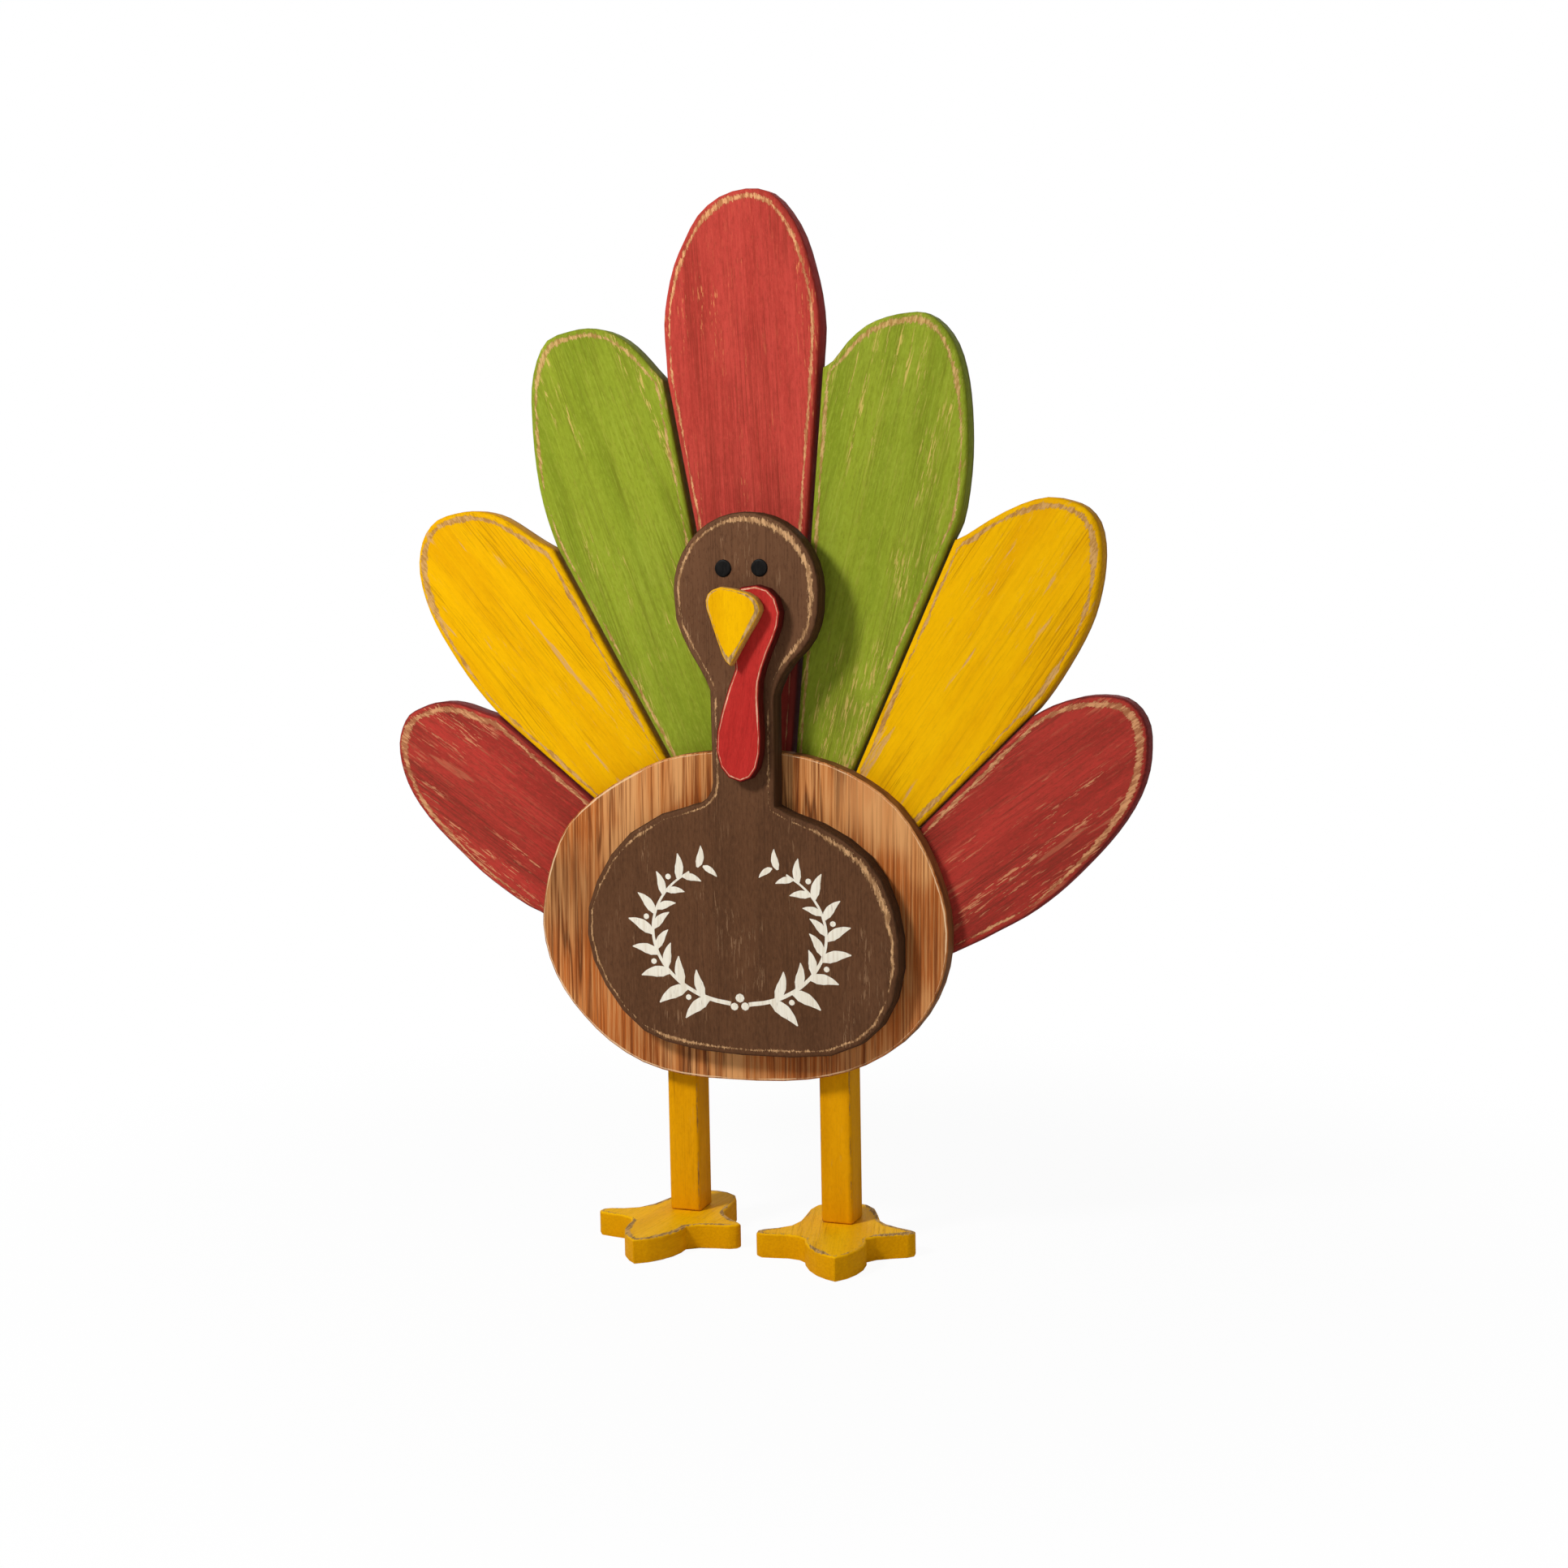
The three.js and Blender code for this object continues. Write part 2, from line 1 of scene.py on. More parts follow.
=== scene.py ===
import json
import math
import bmesh
import bpy
import numpy as np
from mathutils import Euler, Matrix, Vector

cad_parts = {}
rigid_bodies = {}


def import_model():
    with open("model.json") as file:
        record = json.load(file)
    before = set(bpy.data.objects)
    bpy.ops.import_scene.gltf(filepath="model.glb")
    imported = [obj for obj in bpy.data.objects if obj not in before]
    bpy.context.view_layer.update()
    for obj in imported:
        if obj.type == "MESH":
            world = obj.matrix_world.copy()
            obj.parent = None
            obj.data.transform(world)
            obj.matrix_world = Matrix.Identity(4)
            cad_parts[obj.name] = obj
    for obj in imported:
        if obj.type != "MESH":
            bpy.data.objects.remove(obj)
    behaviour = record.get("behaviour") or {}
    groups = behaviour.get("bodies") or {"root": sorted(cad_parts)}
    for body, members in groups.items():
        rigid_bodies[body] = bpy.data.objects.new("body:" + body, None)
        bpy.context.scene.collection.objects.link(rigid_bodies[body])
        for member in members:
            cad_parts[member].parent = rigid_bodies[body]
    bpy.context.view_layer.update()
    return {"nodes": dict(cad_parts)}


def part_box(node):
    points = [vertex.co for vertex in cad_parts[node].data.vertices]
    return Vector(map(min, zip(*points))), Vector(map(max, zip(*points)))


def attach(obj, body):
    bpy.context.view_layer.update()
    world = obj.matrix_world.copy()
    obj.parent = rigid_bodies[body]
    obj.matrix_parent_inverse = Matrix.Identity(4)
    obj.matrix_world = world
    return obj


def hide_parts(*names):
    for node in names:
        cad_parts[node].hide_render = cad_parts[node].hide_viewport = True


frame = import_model()
print("frame loaded:", len(frame["nodes"]), "nodes")

sideways = Vector((1, 0, 0))
towardsViewer = Vector((0, -1, 0))
upwards = Vector((0, 0, 1))
millimetres = 1000  # in a metre
touching = 0.00001  # metres: what lies nearer than this is one place
squareOn = 0.99  # cosine of about 8 degrees: a face that looks straight along a direction


# Selecting and cutting

def only(piece):
    bpy.ops.object.select_all(action="DESELECT")
    piece.select_set(True)
    bpy.context.view_layer.objects.active = piece


def started(primitive, name, **sizes):  # a new primitive, with nothing else selected
    bpy.ops.object.select_all(action="DESELECT")
    primitive(**sizes)
    piece = bpy.context.object
    piece.name = name
    return piece


def copied(name, source):
    piece = bpy.data.objects.new(name, source.data.copy())
    bpy.context.collection.objects.link(piece)
    return piece


def applyPlace():  # puts the place, turn and scale of what is selected into its mesh
    bpy.ops.object.transform_apply(location=True, rotation=True, scale=True)


def editing(piece):
    only(piece)
    bpy.ops.object.mode_set(mode="EDIT")
    bpy.ops.mesh.select_mode(type="VERT")
    bpy.ops.mesh.select_all(action="DESELECT")


def done():
    bpy.ops.object.mode_set(mode="OBJECT")


def takeAll():
    bpy.ops.mesh.select_all(action="SELECT")


def merge(within=touching):
    takeAll()
    bpy.ops.mesh.remove_doubles(threshold=within)
    takeAll()


def pick(piece, kind, test):  # selects the edges or faces that pass the test
    bpy.ops.mesh.select_mode(type="EDGE" if kind == "edges" else "FACE")
    bpy.ops.mesh.select_all(action="DESELECT")
    mesh = bmesh.from_edit_mesh(piece.data)
    for part in getattr(mesh, kind):
        if test(part):
            part.select_set(True)
    bmesh.update_edit_mesh(piece.data)


def run(edge, direction):  # how far an edge runs in a direction
    return abs((edge.verts[0].co - edge.verts[1].co).dot(direction))


def looks(face, direction):
    return face.normal.dot(direction) > squareOn


def subtract(piece, tool):  # cuts the tool out of the piece, and clears the slivers that the cut leaves
    only(tool)
    applyPlace()
    only(piece)
    cut = piece.modifiers.new("cut", "BOOLEAN")
    cut.operation = "DIFFERENCE"
    cut.solver = "EXACT"
    cut.object = tool
    bpy.ops.object.modifier_apply(modifier=cut.name)
    bpy.data.objects.remove(tool)
    editing(piece)
    merge()
    bpy.ops.mesh.dissolve_degenerate(threshold=touching)
    done()


def finishedIn(piece, material):
    piece.data.materials.clear()
    piece.data.materials.append(material)


def settle(piece, body, node, material, angle=40):  # shading, finish and place in the figure
    only(piece)
    bpy.ops.object.shade_smooth_by_angle(angle=math.radians(angle))
    finishedIn(piece, material)
    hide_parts(node)
    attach(piece, body)


# Boards from the frame's outlines

cutting = {"outline": 0.0002, "seedStep": (0.37, 0.11, 0.53)}  # metres; one seed moves the grain by a step


def leaning(degrees):  # a direction in the boards' plane, from the vertical towards the viewer's right
    return Vector((math.sin(math.radians(degrees)), 0, math.cos(math.radians(degrees))))


def cornersOf(piece):
    return np.array([corner.co for corner in piece.data.vertices])


def traced(name, node, facing, depth):  # a flat face in a node's front: its outline a depth further back
    low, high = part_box(node)
    front = max(low.dot(facing), high.dot(facing))
    piece = copied(name, frame["nodes"][node])
    editing(piece)
    merge()
    level = facing * (front - depth)
    bpy.ops.mesh.bisect(plane_co=level, plane_no=facing, clear_inner=True, clear_outer=True)
    merge(cutting["outline"])
    bpy.ops.mesh.select_all(action="DESELECT")
    mesh = bmesh.from_edit_mesh(piece.data)
    min(mesh.verts, key=lambda corner: corner.co.x).select_set(True)
    bmesh.update_edit_mesh(piece.data)
    bpy.ops.mesh.select_linked()
    bpy.ops.mesh.select_all(action="INVERT")
    bpy.ops.mesh.delete(type="VERT")  # the holes' loops go
    takeAll()
    bpy.ops.mesh.edge_face_add()
    mesh = bmesh.from_edit_mesh(piece.data)
    mesh.faces.ensure_lookup_table()
    loop = [tuple(corner.co) for corner in mesh.faces[0].verts]
    bpy.ops.transform.translate(value=facing * depth)
    done()
    return piece, loop, front


def edgeDistance(points, loop):  # how far each point lies from a closed line
    sides = np.roll(loop, -1, axis=0) - loop
    offset = points[:, None] - loop[None]
    share = np.clip((offset * sides).sum(2) / (sides ** 2).sum(1), 0, 1)
    return np.sqrt(((offset - share[..., None] * sides) ** 2).sum(2)).min(1)


def mark(piece, name, values):  # one number, or three, for each corner
    kind, field = ("FLOAT", "value") if values.ndim == 1 else ("FLOAT_VECTOR", "vector")
    layer = piece.data.attributes.new(name, kind, "POINT")
    layer.data.foreach_set(field, values.astype(np.float32).ravel())


def markGrain(piece, along, seed):  # the wood's own directions: across, through and along the grain
    through = upwards if along.y else -towardsViewer  # the feet lie flat, the other boards stand
    across = through.cross(along).normalized()
    grain = cornersOf(piece) @ np.array([across, through, along]).T
    mark(piece, "grain", grain + np.array(cutting["seedStep"]) * seed)


def markEdges(piece, near, far):  # from the front and back edges: more than 0 on the flat, less on the wall
    mark(piece, "frontEdge", near * millimetres)
    mark(piece, "backEdge", far * millimetres)


def markWear(piece, spots):  # worn (more than 0) or painted shade (less); on the disc, scorch and painted shadow (more) or bleach (less): each spot a place, a radius and an amount
    points = cornersOf(piece) * millimetres
    wearAndShade = np.zeros(len(points))
    for x, z, radius, amount in spots:
        apart = (points[:, 0] - x) ** 2 + (points[:, 2] - z) ** 2
        wearAndShade += amount * np.exp(-apart / (2 * radius ** 2))
    mark(piece, "wearAndShade", np.clip(wearAndShade, -1, 1))


def crossCuts(piece, axes, pitch):  # cuts right through, so that edges and wear are known all over the flats
    points = cornersOf(piece)
    editing(piece)
    for axis in axes:
        reach = points @ np.array(axis)
        for place in np.arange(reach.min() + pitch / 2, reach.max(), pitch):
            takeAll()
            bpy.ops.mesh.bisect(plane_co=axis * place, plane_no=axis)
    done()


def cutBoard(name, node, shape, facing=towardsViewer):  # a node's board with its front and back edges rounded
    rounding = shape["rounding"]
    piece, loop, front = traced(name, node, facing, rounding + touching)
    low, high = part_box(node)
    thickness = abs((high - low).dot(facing))
    editing(piece)
    takeAll()
    bpy.ops.mesh.extrude_region_move(TRANSFORM_OT_translate={"value": -facing * thickness})
    takeAll()
    bpy.ops.mesh.normals_make_consistent(inside=False)
    pick(piece, "edges", lambda edge: run(edge, facing) < touching)
    bpy.ops.mesh.bevel(offset=rounding, segments=shape["steps"], profile=0.5, clamp_overlap=False)
    done()
    crossCuts(piece, (sideways, towardsViewer if facing.z else upwards), shape["pitch"])
    flat = np.eye(3) - np.outer(facing, facing)
    points = cornersOf(piece)
    inward = edgeDistance(points @ flat, np.array(loop) @ flat)
    behind = front - points @ np.array(facing)
    onFront = behind < thickness / 2
    markEdges(
        piece, np.where(onFront, inward - behind, -behind - inward),
        np.where(onFront, behind - thickness - inward, inward + behind - thickness))
    markGrain(piece, shape["along"], shape["seed"])
    markWear(piece, shape["wearAndShadeAt"])
    return piece


# Materials

def tone(red, green, blue):  # a colour as a paint chart gives it, 0 to 255, in the shader's own linear values
    linear = []
    for share in (red / 255, green / 255, blue / 255):
        linear.append(share / 12.92 if share < 0.04045 else ((share + 0.055) / 1.055) ** 2.4)
    return (*linear, 1)


def newFinish(name):
    material = bpy.data.materials.new(name)
    material.use_nodes = True
    tree = material.node_tree
    return material, tree, tree.nodes["Principled BSDF"]


def put(tree, kind, inputs, **settings):
    node = tree.nodes.new("ShaderNode" + kind)
    for key, value in settings.items():
        setattr(node, key, value)
    for key, value in inputs.items():
        if isinstance(value, bpy.types.NodeSocket):
            tree.links.new(value, node.inputs[key])
        else:
            node.inputs[key].default_value = value
    return node


def named(tree, name, kind="Fac"):
    return put(tree, "Attribute", {}, attribute_name=name).outputs[kind]


def placeOn(tree):
    return put(tree, "TexCoord", {}).outputs["Object"]


def sums(tree, operation, first, second=0.0):
    return put(tree, "Math", {0: first, 1: second}, operation=operation).outputs[0]


def times(tree, first, second):
    return sums(tree, "MULTIPLY", first, second)


def weighed(tree, parts):  # values added up, each times its weight
    total = 0.0
    for value, weight in parts:
        total = put(tree, "Math", {0: value, 1: weight, 2: total}, operation="MULTIPLY_ADD").outputs[0]
    return total


def around(tree, noise, reach):  # noise brought to swing about nought
    return times(tree, sums(tree, "SUBTRACT", noise, 0.5), reach)


def fade(tree, value, start, end, low=0.0, high=1.0):  # runs smoothly from low at start to high at end
    inputs = {"Value": value, "From Min": start, "From Max": end, "To Min": low, "To Max": high}
    return put(tree, "MapRange", inputs, interpolation_type="SMOOTHSTEP").outputs["Result"]


def cloud(tree, vector, across, along, detail=3.0, roughness=0.55, distortion=0.0):  # noise along the grain
    drawn = put(tree, "VectorMath", {0: vector, 1: (across, across, along)}, operation="MULTIPLY").outputs[0]
    inputs = {"Scale": 1.0, "Detail": detail, "Roughness": roughness, "Distortion": distortion}
    return put(tree, "TexNoise", {"Vector": drawn, **inputs}).outputs[0]


def clouds(tree, vector, shapes):
    return {key: cloud(tree, vector, *shape) for key, shape in shapes.items()}


def mixed(tree, share, first, second):
    return put(tree, "Mix", {0: share, 6: first, 7: second}, data_type="RGBA").outputs[2]


def laid(tree, coat, noise, layers, look):  # tones over a coat: each has its noise, start, end, most and tone
    for kind, start, end, most, tint in layers:  # most is a number, or the name of one in the look
        share = fade(tree, noise[kind], start, end, 0.0, look.get(most, most))
        coat = mixed(tree, share, coat, look[tint])
    return coat


def joined(tree, shader, coat, rough, relief, bump, gloss):  # colour, roughness and relief to the shader
    tree.links.new(coat, shader.inputs["Base Color"])
    tree.links.new(rough, shader.inputs["Roughness"])
    raised = put(tree, "Bump", {"Height": relief, "Strength": bump[0], "Distance": bump[1]})
    tree.links.new(raised.outputs["Normal"], shader.inputs["Normal"])
    shader.inputs["Specular IOR Level"].default_value = gloss


# Paint rubbed through beside the edges

rubbing = {  # noise: across and along the grain, detail, roughness
    "spread": (30, 30, 2), "spreadFade": (0.36, 0.64), "wander": (90, 60, 3),
    "flakes": (900, 260, 5, 0.8), "inward": 0.7, "lineFade": (-0.1, 0.2),
}


def rubbedEdges(tree, grain, edges, wearAndShade, look):  # a flaky line beside the front edge and the back edge
    extra = times(tree, wearAndShade, look["bandWorn"])
    spread = fade(tree, cloud(tree, grain, *rubbing["spread"]), *rubbing["spreadFade"], *look["bandWidth"])
    spread = sums(tree, "ADD", spread, extra)
    middle = sums(tree, "ADD", times(tree, extra, rubbing["inward"]), look["bandAt"])
    wander = around(tree, cloud(tree, grain, *rubbing["wander"]), look["bandWander"])
    ragged = sums(tree, "ADD", times(tree, wearAndShade, look["flakes"]), look["flakes"])
    spread = sums(tree, "ADD", spread, around(tree, cloud(tree, grain, *rubbing["flakes"]), ragged))
    bands = []
    for edge in edges:
        offset = sums(tree, "SUBTRACT", sums(tree, "ADD", edge, wander), middle)
        offset = sums(tree, "ABSOLUTE", offset)
        bands.append(fade(tree, sums(tree, "SUBTRACT", spread, offset), *rubbing["lineFade"]))
    return sums(tree, "MAXIMUM", *bands)


# Painted wood

brushed = {  # noise: across and along the grain, detail, roughness, distortion
    "noise": {
        "streaks": (760, 20, 5, 0.7), "fine": (1300, 15, 4, 0.65), "specks": (760, 260, 4, 0.75),
        "mottle": (230, 75, 4, 0.65), "wide": (60, 6, 4, 0.55, 0.2), "blots": (26, 13, 4, 0.6),
        "ruled": (60, 9, 3), "rows": (230, 9, 4, 0.65), "fields": (30, 14, 2),
        "scratches": (1050, 110, 4, 0.62), "patches": (150, 17, 3, 0.5), "crumbs": (1000, 110, 4, 0.7),
        "char": (520, 110, 4, 0.7), "swell": (45, 25, 2)},
    "wideFade": (0.34, 0.62), "ruledFade": (0.45, 0.6), "rowsFade": (0.5, 0.57, 0.0, 0.9),
    "fieldsFade": (0.48, 0.6, 0.1, 1.0), "crumbsFade": (0.36, 0.5, 0.15), "charFade": (0.4, 0.6),
    "wallFade": (0.35, 0.65), "paintedShadeFade": (-0.1, -0.95, 0.0, 0.88), "roughFade": (0.3, 0.7, -0.05, 0.07),
    "coats": (("blots", 0.45, 0.72, "cloudy", "light"), ("mottle", 0.52, 0.66, "mottled", "deep")),
    "strokes": (
        ("streaks", 0.5, 0.7, "streaky", "lineTone"), ("streaks", 0.46, 0.3, "streaky", "light"),
        ("specks", 0.52, 0.64, "specky", "lineTone"), ("specks", 0.48, 0.36, "specky", "light")),
    "linesRun": 0.09, "scratchRun": 0.03, "patchRun": 0.04, "dirtAndShadeRun": -5, "wallRun": -1.6,
    "dirtAndShadeWander": 9.0, "wornRough": 0.12, "bump": (0.6, 0.0004), "gloss": 0.03,
    "reliefShares": {"fine": 0.5, "streaks": 0.7, "lines": -0.5, "worn": -0.55, "swell": 2.5},
}


def paintedWood(name, look):
    material, tree, shader = newFinish(name)
    grain = named(tree, "grain", "Vector")
    front, back, wearAndShade = (named(tree, place) for place in ("frontEdge", "backEdge", "wearAndShade"))
    noise = clouds(tree, grain, brushed["noise"])

    def after(kind, at, length, *levels):  # a fade that starts where the look says
        return fade(tree, kind, look[at], look[at] + brushed[length], *levels)

    # the coat: three tones, thin and thick by turns along the grain
    coat = mixed(tree, fade(tree, noise["wide"], *brushed["wideFade"]), look["deep"], look["main"])
    coat = laid(tree, coat, noise, brushed["coats"], look)
    # painted light: a lighter tone towards the top, where the look has one
    if "upper" in look:
        height = put(tree, "SeparateXYZ", {0: placeOn(tree)}).outputs["Z"]
        coat = mixed(tree, fade(tree, height, *look["upperFrom"]), coat, look["upper"])
    coat = laid(tree, coat, noise, brushed["strokes"], look)
    ruled = fade(tree, noise["ruled"], *brushed["ruledFade"])
    lines = times(tree, after(noise["fine"], "linesFrom", "linesRun"), ruled)
    coat = mixed(tree, times(tree, lines, look["lines"]), coat, look["lineTone"])
    # scratches and rubbed patches along the grain
    rows = fade(tree, noise["rows"], *brushed["rowsFade"])
    where = times(tree, rows, fade(tree, noise["fields"], *brushed["fieldsFade"]))
    scratch = times(tree, after(noise["scratches"], "scratchFrom", "scratchRun"), where)
    scratch = times(tree, scratch, look["scratches"])
    crumbs = fade(tree, noise["crumbs"], *brushed["crumbsFade"], look["patches"])
    patch = times(tree, after(noise["patches"], "patchFrom", "patchRun"), crumbs)
    rubbed = sums(tree, "MAXIMUM", scratch, patch)
    coat = mixed(tree, rubbed, coat, look["scratchTone"])
    # walls: less paint, and darker towards the back: dirt and painted shade
    wall = mixed(tree, fade(tree, noise["streaks"], *brushed["wallFade"]), look["wall"], look["wallDeep"])
    dirtAndShade = sums(tree, "ADD", front, around(tree, noise["blots"], brushed["dirtAndShadeWander"]))
    wall = mixed(tree, after(dirtAndShade, "dirtAndShadeFrom", "dirtAndShadeRun", 0.0, look["dirtAndShade"]), wall, look["dirtAndShadeTone"])
    coat = mixed(tree, after(sums(tree, "MAXIMUM", front, back), "wallFrom", "wallRun"), coat, wall)
    # the worn line along the edges, and painted shade where the wear mark is below nought
    worn = rubbedEdges(tree, grain, (front, back), wearAndShade, look)
    wornTone = mixed(tree, fade(tree, noise["char"], *brushed["charFade"]), look["worn"], look["wornDeep"])
    coat = mixed(tree, worn, coat, wornTone)
    coat = mixed(tree, fade(tree, wearAndShade, *brushed["paintedShadeFade"]), coat, look["dirtAndShadeTone"])
    wearing = sums(tree, "MAXIMUM", worn, rubbed)
    rough = sums(tree, "ADD", fade(tree, noise["streaks"], *brushed["roughFade"]), look["rough"])
    rough = sums(tree, "ADD", rough, times(tree, wearing, brushed["wornRough"]))
    heights = {**noise, "lines": lines, "worn": wearing}
    relief = weighed(tree, [(heights[kind], share) for kind, share in brushed["reliefShares"].items()])
    joined(tree, shader, coat, rough, relief, brushed["bump"], brushed["gloss"])
    return material


# Stained wood

stained = {
    "noise": {
        "bands": (84, 3, 4, 0.6, 0.4), "rings": (260, 3.2, 4, 0.65, 0.4), "pores": (900, 14, 4, 0.65),
        "warm": (17, 9, 3, 0.55), "ruled": (22, 8, 3), "swell": (30, 1.5, 3, 0.45)},
    "bandsFade": (0.42, 0.56), "ruledFade": (0.42, 0.58, 0.1, 1.0), "scorchAndShadeFade": (0.36, 0.6, 0.45, 0.95),
    "bleachFade": (-0.05, -0.8, 0.0, 0.7), "wallFade": (0.36, 0.62), "offFlat": (-0.1, -1.2),
    "roughFade": (0.3, 0.7, 0.56, 0.68),
    "tints": (
        ("warm", 0.44, 0.58, 0.85, "orange"), ("bands", 0.55, 0.66, 0.65, "brown"),
        ("rings", 0.46, 0.36, 0.6, "pale"), ("rings", 0.54, 0.62, 0.75, "brown")),
    "growthLines": ((0.3, 0.9, 0.8, "brown"), (0.86, 0.99, 0.7, "dark")),
    "poreLines": (("pores", 0.52, 0.62, 0.6, "brown"), ("pores", 0.48, 0.38, 0.6, "pale")),
    "poreDepth": -0.6, "growthDepth": -0.15, "bump": (0.5, 0.0003), "gloss": 0.1,
}


def stainedWood(name, look):
    material, tree, shader = newFinish(name)
    grain = named(tree, "grain", "Vector")
    front, back, scorchAndShade = (named(tree, place) for place in ("frontEdge", "backEdge", "wearAndShade"))
    noise = clouds(tree, grain, stained["noise"])
    coat = mixed(tree, fade(tree, noise["bands"], *stained["bandsFade"]), look["pale"], look["tan"])
    coat = laid(tree, coat, noise, stained["tints"], look)
    # growth lines, drawn in some places only, and pores
    growth = sums(tree, "SINE", times(tree, noise["swell"], look["rings"]))
    ruled = fade(tree, noise["ruled"], *stained["ruledFade"])
    for start, end, most, tint in stained["growthLines"]:
        line = times(tree, fade(tree, growth, start, end, 0.0, most), ruled)
        coat = mixed(tree, line, coat, look[tint])
    coat = laid(tree, coat, noise, stained["poreLines"], look)
    # scorched places and painted shadow, bleached places, walls and the pale edge
    scorchAndShadeShare = times(tree, scorchAndShade, fade(tree, noise["rings"], *stained["scorchAndShadeFade"]))
    coat = mixed(tree, scorchAndShadeShare, coat, look["scorchAndShade"])
    coat = mixed(tree, fade(tree, scorchAndShade, *stained["bleachFade"]), coat, look["pale"])
    wall = mixed(tree, fade(tree, noise["bands"], *stained["wallFade"]), look["wall"], look["wallDeep"])
    onFlat = sums(tree, "MAXIMUM", front, back)
    coat = mixed(tree, fade(tree, onFlat, *stained["offFlat"]), coat, wall)
    worn = rubbedEdges(tree, grain, (front, back), 0.0, look)
    coat = mixed(tree, times(tree, worn, look["wornShare"]), coat, look["worn"])
    rough = fade(tree, noise["bands"], *stained["roughFade"])
    relief = weighed(tree, ((noise["pores"], stained["poreDepth"]), (growth, stained["growthDepth"])))
    joined(tree, shader, coat, rough, relief, stained["bump"], stained["gloss"])
    return material


# Plain finishes: one coat in two tones, as on small things

def plainCoat(name, look):
    material, tree, shader = newFinish(name)
    place = placeOn(tree)
    brush = cloud(tree, place, *look["brush"])
    blend = cloud(tree, place, *look["blend"]) if "blend" in look else brush
    coat = mixed(tree, fade(tree, blend, *look["blendFade"]), look["main"], look["second"])
    if "showing" in look:
        bare = fade(tree, cloud(tree, place, *look["bare"]), *look["bareFade"])
        coat = mixed(tree, bare, coat, look["showing"])
    joined(tree, shader, coat, fade(tree, brush, *look["roughFade"]), brush, look["bump"], look["gloss"])
    shader.inputs["Metallic"].default_value = look["metal"]
    return material


# The tail

feather = {  # shape in metres, bands and wear in millimetres
    "rounding": 0.0026, "steps": 5, "pitch": 0.006, "tipWear": (42, 1.0),  # its radius and amount
    # painted shade: the centre feather's strip beside the neck, and the right green feather beside the disc's
    # rim
    "paintedShade": {
        "feather_centre": ((38, 290, 12, -1.3), (38, 318, 12, -1.3), (37, 344, 10, -1.2)),
        "feather_green_right": ((56, 316, 18, -0.4),)},
    "cloudy": 0.3, "streaky": 0.45, "mottled": 0.3, "linesFrom": 0.5, "rough": 0.6,
    "bandAt": 3.7, "bandWidth": (0.1, 0.95), "bandWorn": 0.9, "bandWander": 1.6, "flakes": 4.4,
}
redPaint = {
    "main": tone(178, 60, 50), "deep": tone(152, 50, 41), "light": tone(194, 60, 52),
    "specky": 0.4, "streaky": 0.7, "lines": 0.6, "lineTone": tone(112, 52, 38),
    "scratches": 0.9, "scratchFrom": 0.54, "scratchTone": tone(214, 146, 104),
    "patches": 0.25, "patchFrom": 0.665,
    "wallFrom": 1.2, "wall": tone(136, 48, 44), "wallDeep": tone(104, 38, 36),
    "dirtAndShade": 0.6, "dirtAndShadeFrom": -8, "dirtAndShadeTone": tone(66, 32, 26),
    "worn": tone(214, 154, 108), "wornDeep": tone(166, 102, 68),
    "bandAt": 3.9, "bandWidth": (0.2, 1.2), "bandWorn": 1.3,
}
centreRedPaint = {
    "main": tone(192, 68, 58), "deep": tone(174, 58, 48), "light": tone(208, 82, 68),
    "specky": 0.35, "streaky": 0.6, "lines": 0.45, "lineTone": tone(140, 52, 38),
    "scratches": 0.85, "scratchFrom": 0.575, "scratchTone": tone(230, 146, 92),
    "patches": 0.2, "patchFrom": 0.7,
    "wallFrom": -0.4, "wall": tone(176, 50, 44), "wallDeep": tone(142, 42, 38),
    "dirtAndShade": 0.5, "dirtAndShadeFrom": -8, "dirtAndShadeTone": tone(84, 32, 26),
    "worn": tone(230, 168, 116), "wornDeep": tone(184, 116, 74),
}
greenPaint = {
    "main": tone(146, 159, 43), "deep": tone(130, 145, 35), "light": tone(162, 173, 60),
    "specky": 0.35, "streaky": 0.55, "lines": 0.5, "lineTone": tone(116, 118, 30),
    "scratches": 1.0, "scratchFrom": 0.52, "scratchTone": tone(212, 182, 98),
    "patches": 0.2, "patchFrom": 0.7,
    "wallFrom": -0.4, "wall": tone(136, 146, 36), "wallDeep": tone(112, 120, 30),
    "dirtAndShade": 0.7, "dirtAndShadeFrom": -8, "dirtAndShadeTone": tone(66, 54, 22),
    "worn": tone(210, 172, 108), "wornDeep": tone(166, 128, 66),
}
yellowPaint = {
    "main": tone(241, 181, 0), "deep": tone(231, 166, 0), "light": tone(248, 193, 8),
    "specky": 0.12, "streaky": 0.3, "lines": 0.65, "linesFrom": 0.53, "lineTone": tone(186, 128, 8),
    "scratches": 0.3, "scratchFrom": 0.6, "scratchTone": tone(214, 162, 96),
    "patches": 0.9, "patchFrom": 0.645,
    "wallFrom": -0.4, "wall": tone(228, 160, 4), "wallDeep": tone(196, 132, 8),
    "dirtAndShade": 0.6, "dirtAndShadeFrom": -8, "dirtAndShadeTone": tone(110, 72, 20),
    "worn": tone(214, 164, 98), "wornDeep": tone(180, 128, 62),
    "bandAt": 3.8, "bandWidth": (0.2, 1.5), "bandWander": 2.0, "flakes": 3.6,
}
